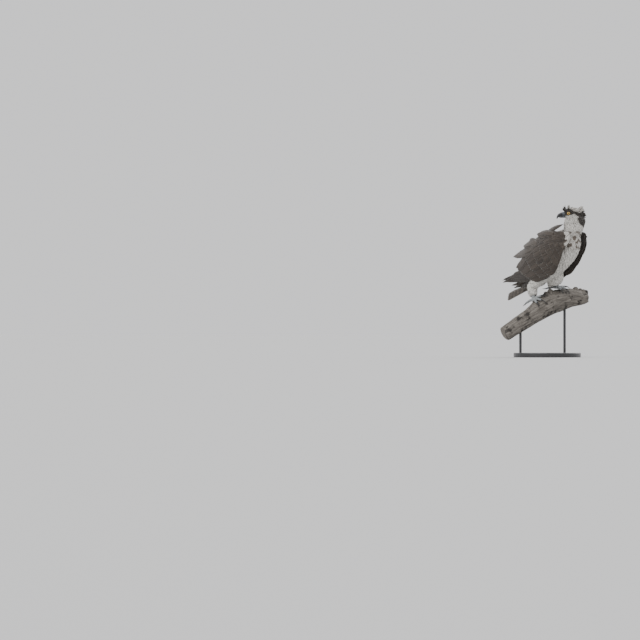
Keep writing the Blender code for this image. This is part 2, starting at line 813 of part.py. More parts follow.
def add_legs(group, parent, finish_feathers, finish_skin, finish_claw):
    for side in ("left", "right"):
        upper = add_object("thigh_" + side, thigh(side), group, parent, finish_feathers)
        boolean(upper, "DIFFERENCE", [add_object("cut", trunk(GAP), group, parent)])
        _, ankle, joint = (p * MM for p in LEGS[side])
        down = (joint - ankle).normalized()
        top, bottom = ankle - down * SHANK_SUNK, joint - down * (HUB_ABOVE + GAP)
        path = [top.lerp(bottom, i / 4) for i in range(5)]
        bm = tube(path, [(r * MM, r * MM) for r in SHANK_RADII], SHANK_SIDES)
        shank = add_object("shank_" + side, bm, group, parent, finish_skin)
        cutters = [add_object("cut", bm, group, parent) for bm in foot_tubes(side, GAP)]
        cutters.append(add_object("cut", thigh(side, GAP), group, parent))
        cutters.append(add_object("cut", branch(GAP), group))
        boolean(shank, "DIFFERENCE", cutters)
        add_foot(side, group, parent, finish_skin, finish_claw)


def branch_centre(t):
    return smooth_curve([row[:3] for row in BRANCH], t) * MM


def branch_radius(t):
    return smooth_curve([(row[3], 0, 0) for row in BRANCH], t).x * MM


def over_branch(point, off):
    """The point moved to a height off over the branch's surface."""
    t = min((k / 160 for k in range(161)), key=lambda s: (branch_centre(s) - point).length_squared)
    out = (point - branch_centre(t)).normalized()
    return branch_centre(t) + out * (branch_radius(t) + off)


def walk_over_branch(start, step, length, heights):
    """A route over the branch from a start, one point for each height, and its last direction."""
    route = [start]
    for height in heights:
        ahead = over_branch(route[-1] + step * (length / len(heights)), height * MM)
        step = (ahead - route[-1]).normalized()
        route.append(ahead)
    return route, step


def toe_route(side, heading, length, held):
    """A toe's centre line in the part's frame, from the joint to the claw, and its last direction."""
    joint = bird_matrix() @ (LEGS[side][2] * MM)
    turn = math.radians(heading) + BIRD_YAW
    shares = [(i + 1) / TOE_STEPS for i in range(TOE_STEPS)]
    heights = [TOE_RADIUS * (1 - 0.2 * f) + 3.2 * math.sin(math.pi * f) ** 2 + 4.5 * f**3 + held * f
               for f in shares]
    return walk_over_branch(joint, Vector((math.cos(turn), math.sin(turn), 0)), length * MM, heights)


def foot_tubes(side, off=0.0):
    """The joint of a foot and its toes, as closed tubes in the bird's frame, grown by off."""
    _, ankle, joint = (p * MM for p in LEGS[side])
    down = (joint - ankle).normalized()
    hub = [joint - down * (HUB_ABOVE + off), joint + down * HUB_BELOW]
    tubes = [tube(hub, [(HUB_RADIUS + off,) * 2] * 2, 16)]
    to_bird = bird_matrix().inverted()
    for heading, length, held, _ in TOES[side]:
        route, _ = toe_route(side, heading, length, held)
        radii = [(TOE_RADIUS * MM * (1.1 - 0.35 * i / TOE_STEPS) + off,) * 2
                 for i in range(TOE_STEPS + 1)]
        tubes.append(tube([to_bird @ p for p in route], radii, TOE_SIDES))
    return tubes


def add_claw(name, group, parent, finish, toe_end, step, held):
    """A hooked claw from the end of its toe to the bark, or held over it."""
    lift = (toe_end - over_branch(toe_end, 0)).length / MM
    shares = [(i + 1) / CLAW_STEPS for i in range(CLAW_STEPS)]
    heights = [held + (lift - held) * math.cos(math.pi / 2 * f) ** 0.8 + CLAW_CLEAR for f in shares]
    route, _ = walk_over_branch(toe_end + step * (2 * MM), step, CLAW_LENGTH * MM, heights)
    route.insert(0, toe_end + step * GAP)
    radii = [CLAW_RADIUS * (1 - i / (CLAW_STEPS + 1)) ** 0.7 for i in range(CLAW_STEPS + 2)]
    radii = [(max(r, CLAW_TIP) * MM, max(1.15 * r, CLAW_TIP) * MM) for r in radii]
    to_bird = bird_matrix().inverted()
    bm = tube([to_bird @ p for p in route], radii, CLAW_SIDES)
    claw = add_object(name, bm, group, parent, finish)
    boolean(claw, "DIFFERENCE", [add_object("cut", branch(GAP), group)])


def add_foot(side, group, parent, finish_skin, finish_claw):
    hub, *toes = foot_tubes(side)
    foot = add_object("foot_" + side, hub, group, parent, finish_skin)
    boolean(foot, "UNION", [add_object("toe", bm, group, parent) for bm in toes])
    boolean(foot, "DIFFERENCE", [add_object("cut", branch(GAP), group)])
    for number, (heading, length, held, claw_held) in enumerate(TOES[side], 1):
        route, step = toe_route(side, heading, length, held)
        name = f"claw_{side}_{number}"
        add_claw(name, group, parent, finish_claw, route[-1], step, claw_held)


# Perch and stand


def branch(off=0.0):
    """The cut length of branch: a sawn lower end, a broken upper end and a weathered surface."""
    rows = []
    for i in range(BRANCH_RINGS):
        t = i / (BRANCH_RINGS - 1)
        ahead = (branch_centre(min(t + 0.02, 1)) - branch_centre(max(t - 0.02, 0))).normalized()
        across = ahead.cross(Vector((0, 0, 1))).normalized()
        up = across.cross(ahead)
        ring = []
        for k in range(BRANCH_SIDES):
            angle = math.tau * k / BRANCH_SIDES
            out = across * math.cos(angle) + up * math.sin(angle)
            centre = branch_centre(t)
            relief = noise(Vector((5 * t + 3.1, math.cos(angle) * 1.6, math.sin(angle) * 1.6 + 7)))
            radius = branch_radius(t) * (1 + BARK_RELIEF * (relief - 0.5)) + off
            point = centre + out * radius
            if i == BRANCH_RINGS - 1:
                point = point + ahead * (BROKEN_RELIEF * noise(out * 2.3 + Vector((1, 4, 2))) + off)
            elif i == 0:
                point = point - ahead * off
            ring.append(point)
        rows.append(ring)
    centre = sum(rows[-1], Vector()) / BRANCH_SIDES
    rows.append([centre + (p - centre) * 0.5 - ahead * BROKEN_DIP for p in rows[-1]])
    return loft(rows)


def add_perch(group, finish):
    perch = add_object("perch_branch", branch(), group, None, finish)
    knobs = []
    for place, radius, forward in KNOBS:
        top = branch_centre(place) + Vector((0, -forward * MM, branch_radius(place) - 1 * MM))
        bm = ball(top, radius * MM, 2)
        for v in bm.verts:
            v.co = top + (v.co - top) * (1 + 0.35 * noise(v.co * 160))
        knobs.append(add_object("knob", bm, group))
    boolean(perch, "UNION", knobs)


def add_stand(group, finish_base, finish_rod):
    bm = bmesh.new()
    bmesh.ops.create_cone(bm, cap_ends=True, segments=BASE_SIDES, radius1=BASE_RADIUS, radius2=BASE_RADIUS,
                          depth=BASE_HEIGHT, matrix=Matrix.Translation((0, 0, BASE_HEIGHT / 2)))
    base = add_object("stand_base", bm, group, None, finish_base)
    bevel = base.modifiers.new("rounded rim", "BEVEL")
    bevel.width = BASE_BEVEL
    bevel.segments = 2
    bevel.limit_method = "ANGLE"
    for number, place in enumerate(ROD_PLACES, 1):
        top = branch_centre(place)
        bottom = BASE_HEIGHT + GAP
        height = top.z - bottom
        bm = bmesh.new()
        bmesh.ops.create_cone(bm, cap_ends=True, segments=ROD_SIDES, radius1=ROD_RADIUS,
                              radius2=ROD_RADIUS, depth=height,
                              matrix=Matrix.Translation((top.x, top.y, bottom + height / 2)))
        rod = add_object(f"stand_rod_{number}", bm, group, None, finish_rod)
        boolean(rod, "DIFFERENCE", [add_object("cut", branch(GAP), group)])


def build():
    for obj in list(bpy.data.objects):
        bpy.data.objects.remove(obj)
    brown = material("dark_brown_feathers", (0.05, 0.035, 0.025), 0.75)
    white = material("white_feathers", (0.72, 0.69, 0.63), 0.8)
    iris = material("eye", (0.75, 0.5, 0.06), 0.1)
    horn = material("black_horn", (0.03, 0.03, 0.035), 0.35)
    skin = material("grey_scaled_skin", (0.42, 0.46, 0.48), 0.6)
    wood = material("weathered_wood", (0.42, 0.39, 0.35), 0.85)
    black = material("black_painted_metal", (0.03, 0.03, 0.03), 0.5)
    osprey = collection("osprey")
    bird = add_frame("bird_frame", BIRD_AT, BIRD_YAW, osprey)
    head_frame = add_frame("head_frame", HEAD_AT, HEAD_YAW, osprey, bird)
    add_torso(osprey, bird, white)
    add_neck(osprey, bird, white, head_frame)
    add_head(osprey, head_frame, white)
    add_eyes(osprey, head_frame, iris)
    add_bill(osprey, head_frame, horn)
    add_tail(osprey, bird, brown)
    for side in ("left", "right"):
        add_wing(side, osprey, bird, brown)
    add_legs(osprey, bird, white, skin, horn)
    add_perch(osprey, wood)
    add_stand(osprey, black, black)


build()
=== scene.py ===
import math

import bmesh
import bpy
import numpy as np
from mathutils import Matrix, Vector, noise
from mathutils.bvhtree import BVHTree
from mathutils.kdtree import KDTree


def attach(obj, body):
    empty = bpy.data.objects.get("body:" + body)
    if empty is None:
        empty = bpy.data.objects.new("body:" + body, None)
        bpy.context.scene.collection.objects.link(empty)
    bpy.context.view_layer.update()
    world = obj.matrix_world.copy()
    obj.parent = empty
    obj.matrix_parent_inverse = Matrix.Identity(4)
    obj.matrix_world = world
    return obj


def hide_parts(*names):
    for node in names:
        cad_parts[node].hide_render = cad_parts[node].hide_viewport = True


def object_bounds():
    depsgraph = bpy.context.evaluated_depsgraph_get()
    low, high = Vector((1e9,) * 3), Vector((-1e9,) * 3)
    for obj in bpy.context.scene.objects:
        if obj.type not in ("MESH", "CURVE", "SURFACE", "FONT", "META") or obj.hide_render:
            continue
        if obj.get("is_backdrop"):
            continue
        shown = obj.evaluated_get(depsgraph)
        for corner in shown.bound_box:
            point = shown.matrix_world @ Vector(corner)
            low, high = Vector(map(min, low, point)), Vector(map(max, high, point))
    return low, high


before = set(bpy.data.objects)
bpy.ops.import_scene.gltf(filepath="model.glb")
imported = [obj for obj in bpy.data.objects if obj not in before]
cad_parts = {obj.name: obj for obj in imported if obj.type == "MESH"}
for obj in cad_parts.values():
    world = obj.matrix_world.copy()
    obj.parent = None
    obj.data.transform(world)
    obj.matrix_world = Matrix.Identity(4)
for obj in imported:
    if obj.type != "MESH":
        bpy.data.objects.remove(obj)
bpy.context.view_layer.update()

# The studio: a pale matt floor that runs out to an even pale surround, lit by two wide soft
# lights, one from the front and one from behind. The camera stands far off with a long lens,
# turned so that the bird sits in the right half of the frame and is seen square on.
MM = 0.001
BIRD_COLUMN = 546
LENS_PIXELS = 6200
PIXEL_AT_BIRD = 4.45 * MM
CAMERA_HEIGHT = 166 * MM
turn = math.atan2(BIRD_COLUMN - 320, LENS_PIXELS)
camera_data = bpy.data.cameras.new("camera")
camera_data.angle = 2 * math.atan(320 / LENS_PIXELS)
camera = bpy.data.objects.new("camera", camera_data)
camera.location = (-5.5 * MM, -PIXEL_AT_BIRD * LENS_PIXELS / math.cos(turn), CAMERA_HEIGHT)
camera.rotation_euler = (math.radians(90), 0, turn)
bpy.context.scene.collection.objects.link(camera)
bpy.context.scene.camera = camera


def new_finish(name, **values):
    """A material whose shader sockets are set by name, with its node tree and its shader."""
    made = bpy.data.materials.new(name)
    made.use_nodes = True
    shader = made.node_tree.nodes["Principled BSDF"]
    for socket, value in values.items():
        shader.inputs[socket.replace("_", " ")].default_value = value
    return made, made.node_tree, shader


def add_node(tree, kind, inputs=(), **settings):
    """A node with its settings, whose inputs are numbers or the outputs of other nodes."""
    node = tree.nodes.new("ShaderNode" + kind)
    for name, value in settings.items():
        setattr(node, name, value)
    for socket, value in dict(inputs).items():
        if isinstance(value, bpy.types.NodeSocket):
            tree.links.new(value, node.inputs[socket])
        else:
            node.inputs[socket].default_value = value
    return node


def math_node(tree, operation, first, second=0.0, clamp=False):
    node = add_node(tree, "Math", {0: first, 1: second}, operation=operation, use_clamp=clamp)
    return node.outputs[0]


def link_piece(name, mesh, finish=None, slot=None, replaces=()):
    """An object for a finished mesh, which rides on the body of the part."""
    made = bpy.data.objects.new(name, mesh)
    bpy.context.scene.collection.objects.link(made)
    if finish:
        mesh.materials.append(finish)
    if slot:
        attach(made, "root")
    if replaces:
        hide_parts(*replaces)
    return made


bm = bmesh.new()
bmesh.ops.create_circle(bm, cap_ends=True, segments=96, radius=40)
mesh = bpy.data.meshes.new("floor")
bm.to_mesh(mesh)
bm.free()
floor_finish, tree, shader = new_finish("pale_floor", Base_Color=(0.51, 0.51, 0.51, 1), Roughness=0.9)
link_piece("floor", mesh, floor_finish)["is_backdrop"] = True
for name, toward, softness, strength in (
    ("key_light", (-0.55, -0.62, 0.72), 70, 1.5),
    ("back_light", (0.45, 0.75, 0.85), 60, 2.1),
):
    light_data = bpy.data.lights.new(name, "SUN")
    light_data.angle = math.radians(softness)
    light_data.energy = strength
    light = bpy.data.objects.new(name, light_data)
    light.rotation_euler = Vector(toward).to_track_quat("Z", "Y").to_euler()
    bpy.context.scene.collection.objects.link(light)
world = bpy.data.worlds.new("surround")
world.use_nodes = True
world.node_tree.nodes["Background"].inputs["Color"].default_value = (0.95, 0.95, 0.96, 1)
world.node_tree.nodes["Background"].inputs["Strength"].default_value = 1.0
bpy.context.scene.world = world

# The display stand: a turned steel disc and two straight steel rods, all with a thin satin black
# coat. The rods stand on the disc and run up into the underside of the branch.
stand_finish, tree, shader = new_finish("satin_black_coat", Base_Color=(0.022, 0.022, 0.024, 1),
                                        Roughness=0.42, Coat_Weight=0.25)
place = add_node(tree, "TexCoord").outputs["Object"]
grit = add_node(tree, "TexNoise", {"Vector": place, "Scale": 900, "Detail": 3})
wear = add_node(tree, "TexNoise", {"Vector": place, "Scale": 14, "Detail": 4})
rough = add_node(tree, "MapRange", {"Value": wear.outputs["Fac"], "To Min": 0.34, "To Max": 0.52})
tree.links.new(rough.outputs["Result"], shader.inputs["Roughness"])
relief = add_node(tree, "Bump", {"Height": grit.outputs["Fac"], "Strength": 0.12, "Distance": 0.0003})
tree.links.new(relief.outputs["Normal"], shader.inputs["Normal"])
for node in ("stand_base", "stand_rod_1", "stand_rod_2"):
    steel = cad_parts[node]
    steel.data.materials.clear()
    steel.data.materials.append(stand_finish)

# The perch: a cut length of dead, barkless branch, weathered grey, with long drying cracks, ropy
# grain that turns slowly round it, knots on its broken end and a few rags of dark bark.
BRANCH_LINE = np.array((
    (-188, -95, 104, 34), (-126, -62, 145, 37.5), (-68, -31, 184.5, 40.5), (-10, 0, 228, 52),
    (43, 28, 250, 52), (97, 57, 264, 43.5), (142, 81, 264, 35), (176, 99, 265, 25.5)))
WOOD_VOXEL = 1.5 * MM


def smooth_rows(rows, t):
    """Rows of numbers read at t (0 to 1) on a smooth curve through evenly spaced rows."""
    rows = np.asarray(rows, float)
    place = np.clip(np.asarray(t, float), 0, 1) * (len(rows) - 1)
    i = np.minimum(place.astype(int), len(rows) - 2)
    f = (place - i)[..., None]
    p0, p1, p2, p3 = (rows[np.clip(i + k, 0, len(rows) - 1)] for k in (-1, 0, 1, 2))
    return 0.5 * (2 * p1 + (p2 - p0) * f + (2 * p0 - 5 * p1 + 4 * p2 - p3) * f**2
                  + (3 * p1 - p0 - 3 * p2 + p3) * f**3)


def unit(vectors):
    return vectors / np.maximum(np.linalg.norm(vectors, axis=-1, keepdims=True), 1e-9)


def points_of(mesh):
    flat = np.empty(len(mesh.vertices) * 3)
    mesh.vertices.foreach_get("co", flat)
    return flat.reshape(-1, 3)


def normals_of(mesh):
    flat = np.empty(len(mesh.vertices) * 3)
    mesh.vertices.foreach_get("normal", flat)
    return flat.reshape(-1, 3)


def shaped(bm, name, modifiers):
    """The mesh of a bmesh after a list of modifiers, each a kind and its settings."""
    rough = bpy.data.meshes.new(name)
    bm.to_mesh(rough)
    bm.free()
    blank = bpy.data.objects.new(name, rough)
    bpy.context.scene.collection.objects.link(blank)
    for kind, settings in modifiers:
        modifier = blank.modifiers.new(kind.lower(), kind)
        for key, value in settings.items():
            setattr(modifier, key, value)
    seen = blank.evaluated_get(bpy.context.evaluated_depsgraph_get())
    mesh = bpy.data.meshes.new_from_object(seen)
    bpy.data.objects.remove(blank)
    bpy.data.meshes.remove(rough)
    mesh.name = name
    return mesh


def give_vectors(mesh, name, values):
    mesh.attributes.new(name, "FLOAT_VECTOR", "POINT").data.foreach_set("vector", values.ravel())


def copy_of_nodes(*nodes):
    """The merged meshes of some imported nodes, as one bmesh."""
    bm = bmesh.new()
    for node in nodes:
        bm.from_mesh(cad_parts[node].data)
    bmesh.ops.remove_doubles(bm, verts=bm.verts, dist=2e-6)
    return bm


mesh = shaped(copy_of_nodes("perch_branch"), "perch_wood", [
    ("REMESH", {"mode": "VOXEL", "voxel_size": WOOD_VOXEL}),
    ("SMOOTH", {"iterations": 14, "factor": 0.5}),
])
points, out = points_of(mesh), normals_of(mesh)
along_branch = np.linspace(0, 1, 181)
centres = smooth_rows(BRANCH_LINE[:, :3], along_branch) * MM
nearest = np.array([np.argmin(((centres - p) ** 2).sum(1)) for p in points])
ahead = unit(np.gradient(centres, axis=0))[nearest]
across = unit(np.cross(ahead, (0, 0, 1)))
above = np.cross(across, ahead)
away = points - centres[nearest]
angle = np.arctan2((away * above).sum(1), (away * across).sum(1))
reach = np.concatenate(([0], np.cumsum(np.linalg.norm(np.diff(centres, axis=0), axis=1))))[nearest]
reach = reach + (away * ahead).sum(1)
angle = angle + 1.4 * reach
grain = np.stack((reach, 0.04 * np.cos(angle), 0.04 * np.sin(angle)), axis=1)
give_vectors(mesh, "grain", grain)
lift = np.empty(len(points))
for i, (s, y, z) in enumerate(grain):
    ropes = noise.noise((s * 9, y * 90, z * 90))
    fibres = noise.noise((s * 30, y * 420, z * 420))
    crack = abs(noise.noise((s * 7 + 5, y * 150, z * 150)))
    lumps = noise.noise((s * 38, y * 38, z * 38))
    pits = noise.noise((s * 160, y * 160, z * 160))
    lift[i] = 1.1 * ropes + 0.45 * fibres + 1.3 * lumps + 0.35 * pits - 2.4 * max(0, 1 - crack * 9) ** 2
side_on = np.clip(1 - 1.2 * np.abs((out * ahead).sum(1)), 0.25, 1)
points = points + out * (lift * side_on * 0.8 * MM)[:, None]
mesh.vertices.foreach_set("co", points.ravel())
mesh.shade_smooth()
wood_finish, tree, shader = new_finish("weathered_wood", Roughness=0.86)
fibre = add_node(tree, "Attribute", attribute_name="grain").outputs["Vector"]
stretched = add_node(tree, "Mapping", {"Vector": fibre, "Scale": (14, 160, 160)}).outputs["Vector"]
streaks = add_node(tree, "TexNoise", {"Vector": stretched, "Scale": 1.0, "Detail": 8, "Roughness": 0.65})
fine = add_node(tree, "Mapping", {"Vector": fibre, "Scale": (60, 1500, 1500)}).outputs["Vector"]
threads = add_node(tree, "TexNoise", {"Vector": fine, "Scale": 1.0, "Detail": 4})
blotch = add_node(tree, "TexNoise", {"Vector": fibre, "Scale": 26, "Detail": 6, "Roughness": 0.7})
tint = add_node(tree, "ValToRGB", {"Fac": streaks.outputs["Fac"]})
ramp = tint.color_ramp
ramp.elements[0].position, ramp.elements[0].color = 0.3, (0.055, 0.047, 0.040, 1)
ramp.elements[1].position, ramp.elements[1].color = 0.72, (0.33, 0.30, 0.265, 1)
ramp.elements.new(0.5).color = (0.165, 0.148, 0.128, 1)
bark = add_node(tree, "MapRange", {"Value": blotch.outputs["Fac"], "From Min": 0.52, "From Max": 0.60})
rags = add_node(tree, "Mix", {"Factor": bark.outputs["Result"], "A": tint.outputs["Color"],
                              "B": (0.030, 0.026, 0.022, 1)}, data_type="RGBA")
deep = add_node(tree, "MapRange", {"Value": threads.outputs["Fac"], "From Min": 0.3, "From Max": 0.6,
                                   "To Min": 0.62, "To Max": 1.12})
shade = add_node(tree, "Mix", {"Factor": 1.0, "A": rags.outputs[2], "B": deep.outputs["Result"]},
                 data_type="RGBA", blend_type="MULTIPLY")
tree.links.new(shade.outputs[2], shader.inputs["Base Color"])
relief = add_node(tree, "Bump", {"Height": threads.outputs["Fac"], "Strength": 0.5, "Distance": 0.0005})
relief = add_node(tree, "Bump", {"Height": blotch.outputs["Fac"], "Strength": 0.4, "Distance": 0.001,
                                 "Normal": relief.outputs["Normal"]})
tree.links.new(relief.outputs["Normal"], shader.inputs["Normal"])
link_piece("perch_wood", mesh, wood_finish, "weathered_wood", ["perch_branch"])

# The skin: one closed skin over trunk, neck, head and thighs, a few millimetres under the tips of
# the small feathers. It has the bird's own markings, so that nothing else shows between feathers.
BIRD_AT = np.array((41, -40, 0)) * MM
BIRD_YAW = math.radians(-38)
HEAD_AT = np.array((85, 0, 634)) * MM
HEAD_YAW = math.radians(-127)
# Centre x and z, half depth, half width and pitch in degrees, from the neck to the tail
TRUNK_ROWS = np.array((
    (84, 550, 42, 43, 62), (73, 533, 60, 57, 58), (54, 508, 71, 68, 54), (27, 472, 73, 73, 50),
    (-10, 436, 69, 68, 46), (-50, 399, 62, 57, 42), (-86, 369, 48, 46, 36), (-110, 353, 28, 33, 30)))
# Centre x and z, half depth along the head's heading, half width
NECK_ROWS = np.array((
    (78, 528, 43, 43), (89, 552, 44, 42), (97, 575, 46.5, 38), (100.5, 594, 51.5, 34),
    (103, 611, 51, 29), (104, 626, 40, 24)))
# Along the head, centre height, half width, half height, in the head's own frame
HEAD_ROWS = np.array((
    (35, -1, 11, 12), (31, 1, 14.5, 16), (24, 4, 19, 20.5), (14, 5, 22.5, 24.5), (2, 5, 25.5, 27),
    (-12, 4, 27, 28), (-26, 2, 25.5, 27), (-41, 0, 21, 23), (-52, -1, 13, 15), (-57, -1, 4, 5)))
LEG_LINES = {
    "left": np.array(((-14, 28, 404), (-50, 44, 337), (-40, 54, 317))) * MM,
    "right": np.array(((-26, -26, 402), (-106, -40, 312), (-87, -52, 257))) * MM}
THIGH_RADII = {"left": (31, 38, 45, 47, 43, 33, 20), "right": (31, 34, 34, 29, 25, 26, 24)}
FEATHERED_SHANK = {"left": 0.5, "right": 0.7}
TAIL_ROOT = np.array((-110, 0, 338)) * MM
TAIL_TIP = np.array((-271, 0, 284)) * MM
TAIL_ROLL = math.radians(33)
BODY_COAT, HEAD_COAT = 5.5, 2.4
SKIN_VOXEL = 1.9 * MM


def turned(points, yaw):
    c, s = math.cos(yaw), math.sin(yaw)
    return np.stack((points[..., 0] * c - points[..., 1] * s, points[..., 0] * s + points[..., 1] * c,
                     points[..., 2]), axis=-1)


def from_bird(points):
    return turned(points, BIRD_YAW) + BIRD_AT


def to_bird(points):
    return turned(points - BIRD_AT, -BIRD_YAW)


def from_head(points):
    return from_bird(turned(points, HEAD_YAW) + HEAD_AT)


def to_head(points):
    return turned(to_bird(points) - HEAD_AT, -HEAD_YAW)


def add_form(bm, rings, sides=36):
    """A closed form through rings, each a centre and two half axes in the part's frame."""
    loops = []
    for centre, across, up in rings:
        matrix = Matrix([[*row, 0] for row in np.column_stack((across, up, unit(np.cross(across, up))))]
                        + [[0, 0, 0, 1]])
        matrix.translation = Vector(centre)
        circle = bmesh.ops.create_circle(bm, segments=sides, radius=1, matrix=matrix)
        loops.append(set(circle["verts"]))
    for low, high in zip(loops, loops[1:]):
        edges = {e for ring in (low, high) for v in ring for e in v.link_edges
                 if e.verts[0] in ring and e.verts[1] in ring}
        bmesh.ops.bridge_loops(bm, edges=list(edges))
    for ring in (loops[0], loops[-1]):
        edges = {e for v in ring for e in v.link_edges if e.verts[0] in ring and e.verts[1] in ring}
        bmesh.ops.contextual_create(bm, geom=list(edges))


bm = bmesh.new()
rings = []
for x, z, depth, width, pitch in smooth_rows(TRUNK_ROWS, np.linspace(0, 1, 22)):
    pitch = math.radians(pitch)
    up = np.array((-math.sin(pitch), 0, math.cos(pitch))) * (depth - BODY_COAT) * MM
    centre = np.array((x, 0, z)) * MM
    side = np.array((0, width - BODY_COAT, 0)) * MM
    rings.append((from_bird(centre), turned(side, BIRD_YAW), turned(up, BIRD_YAW)))
add_form(bm, rings)
rings = []
for x, z, depth, width in smooth_rows(NECK_ROWS, np.linspace(0, 1, 14)):
    heading = np.array((depth - BODY_COAT + 1, 0, 0)) * MM
    side = np.array((0, width - BODY_COAT + 1, 0)) * MM
    rings.append((from_bird(np.array((x, 0, z)) * MM), turned(heading, HEAD_YAW + BIRD_YAW),
                  turned(side, HEAD_YAW + BIRD_YAW)))
add_form(bm, rings)
rings = []
for x, z, width, height in smooth_rows(HEAD_ROWS, np.linspace(0, 1, 24)):
    side = np.array((0, max(width - HEAD_COAT, 1), 0)) * MM
    up = np.array((0, 0, max(height - HEAD_COAT, 1))) * MM
    rings.append((from_head(np.array((x, 0, z)) * MM), turned(side, HEAD_YAW + BIRD_YAW), up))
add_form(bm, rings)
for side in (1, -1):
    # Brow over the eye, cheek behind the gape
    for at, size in (((19, 15.5 * side, 15), (11, 5.5, 4)), ((14, 16 * side, -9), (15, 6, 7))):
        matrix = Matrix.LocRotScale(Vector(from_head(np.array(at) * MM)),
                                    Matrix.Rotation(HEAD_YAW + BIRD_YAW, 3, "Z"), Vector(size) * MM)
        bmesh.ops.create_uvsphere(bm, u_segments=20, v_segments=12, radius=1, matrix=matrix)
for side, (hip, ankle, joint) in LEG_LINES.items():
    path = [hip + (ankle - hip) * f for f in np.linspace(0, 1, 5)]
    path += [ankle + (joint - ankle) * f * FEATHERED_SHANK[side] for f in (0.5, 0.94)]
    axes = unit(np.gradient(np.array(path), axis=0))
    rings = []
    for centre, axis, radius, coat in zip(path, axes, THIGH_RADII[side], (6, 6, 6, 6, 5, 4, 3.6)):
        aside = unit(np.cross(axis, (0, 0, 1)))
        radius = (radius - coat) * MM
        rings.append((from_bird(centre), turned(aside * radius * 0.78, BIRD_YAW),
                      turned(np.cross(aside, axis) * radius, BIRD_YAW)))
    add_form(bm, rings, 24)
tail_along = unit(TAIL_TIP - TAIL_ROOT)
level = np.array((0.0, 1, 0))
tail_aside = level * math.cos(TAIL_ROLL) + np.cross(level, tail_along) * math.sin(TAIL_ROLL)
tail_up = np.cross(tail_aside, tail_along)
rings = []
for reach, width, height in ((-30, 25, 20), (0, 22, 15), (22, 20, 11), (48, 17, 7), (72, 12, 3)):
    centre = TAIL_ROOT + tail_along * reach * MM - tail_up * 5 * MM
    rings.append((from_bird(centre), turned(tail_aside * width * MM, BIRD_YAW),
                  turned(tail_up * height * MM, BIRD_YAW)))
add_form(bm, rings, 24)
bmesh.ops.recalc_face_normals(bm, faces=bm.faces)
mesh = shaped(bm, "skin", [
    ("REMESH", {"mode": "VOXEL", "voxel_size": SKIN_VOXEL}),
    ("SMOOTH", {"iterations": 9, "factor": 0.5}),
])
mesh.shade_smooth()

WHITE_VANE = np.array((0.66, 0.635, 0.59))
BROWN_VANE = np.array((0.033, 0.025, 0.019))
DUSKY_VANE = np.array((0.135, 0.108, 0.085))


def soft_step(low, high, value):
    f = np.clip((value - low) / (high - low), 0, 1)
    return f * f * (3 - 2 * f)


def ripple(points, length, seed):
    """An even random swell over points, about -1 to 1, with waves of about the given length."""
    draw = np.random.default_rng(seed)
    total = 0
    for _ in range(7):
        wave = unit(draw.normal(size=3)) * (2 * math.pi / (length * draw.uniform(0.7, 1.4)))
        total = total + np.sin(points @ wave + draw.uniform(0, 6.3))
    return total / 2.4


def trunk_place(points):
    """Where points lie along the trunk (0 neck, 1 tail) and round it in degrees from the back."""
    steps = np.linspace(0, 1, 60)
    rows = smooth_rows(TRUNK_ROWS, steps)
    flat = to_bird(points) / MM
    gap = (flat[:, None, 0] - rows[None, :, 0]) ** 2 + (flat[:, None, 2] - rows[None, :, 1]) ** 2
    row = rows[np.argmin(gap, axis=1)]
    pitch = np.radians(row[:, 4])
    up = (flat[:, 0] - row[:, 0]) * -np.sin(pitch) + (flat[:, 2] - row[:, 1]) * np.cos(pitch)
    return steps[np.argmin(gap, axis=1)], np.degrees(np.arctan2(np.abs(flat[:, 1]), up)), pitch


def markings(points):
    """The colour of the plumage at points of the body, and how strongly each vane is streaked."""
    head = to_head(points) / MM
    bird = to_bird(points) / MM
    z = points[:, 2] / MM
    wobble = ripple(points, 14 * MM, 3) * 1.6
    # The dark stripe of the head: its upper and lower edge along the head
    top = np.interp(head[:, 0], (-52, -46, -38, -27, -10, 0, 8, 36), (44, 22, 11, 11, 15, 18, 27, 30))
    foot = np.interp(head[:, 0], (-32, -27, -22, -10, 0, 18, 36), (-60, -40, -12, -2, -1, -6, -9))
    stripe = soft_step(0, 4, top - head[:, 2] + wobble) * soft_step(0, 4, head[:, 2] - foot + wobble)
    # Below the head it runs down the nape and turns to the bird's back
    azimuth = np.degrees(np.arctan2(points[:, 1] - from_bird(np.array((100, 0, 0)) * MM)[1],
                                    points[:, 0] - from_bird(np.array((100, 0, 0)) * MM)[0]))
    centre = np.interp(z, (520, 550, 575, 600, 640), (142, 110, 60, 20, 15))
    spread = np.interp(z, (520, 560, 575, 590, 612), (75, 66, 78, 84, 84))
    off = np.abs((azimuth - centre + 180) % 360 - 180)
    nape = soft_step(0, 12, spread - off + wobble * 3) * soft_step(-2, 6, 622 - z)
    nape = nape * soft_step(505, 520, z)
    place, round_trunk, _ = trunk_place(points)
    mantle = soft_step(0, 14, 74 - round_trunk + wobble * 3) * soft_step(560, 545, z)
    mantle = mantle * soft_step(-150, -110, bird[:, 0])
    dark = np.clip(stripe * soft_step(600, 612, z) + nape + mantle, 0, 1)
    # Mottled band over the breast, and a few dusky flecks on crown and throat
    band = soft_step(462, 485, z) * soft_step(566, 548, z) * (1 - dark)
    blotch = soft_step(0.2, 0.65, ripple(points, 27 * MM, 8)) * 0.85 + 0.12
    flecks = soft_step(0.5, 0.9, ripple(points, 11 * MM, 5)) * 0.35
    crown = soft_step(640, 648, z) * (1 - dark) * 0.30
    dusk = np.clip(band * blotch + flecks * soft_step(560, 600, z) + crown, 0, 1)[:, None]
    colour = WHITE_VANE * (1 - dusk) + DUSKY_VANE * dusk
    colour = colour * (1 - dark[:, None]) + BROWN_VANE * dark[:, None]
    return colour, np.clip(band * blotch * 1.2, 0, 1)


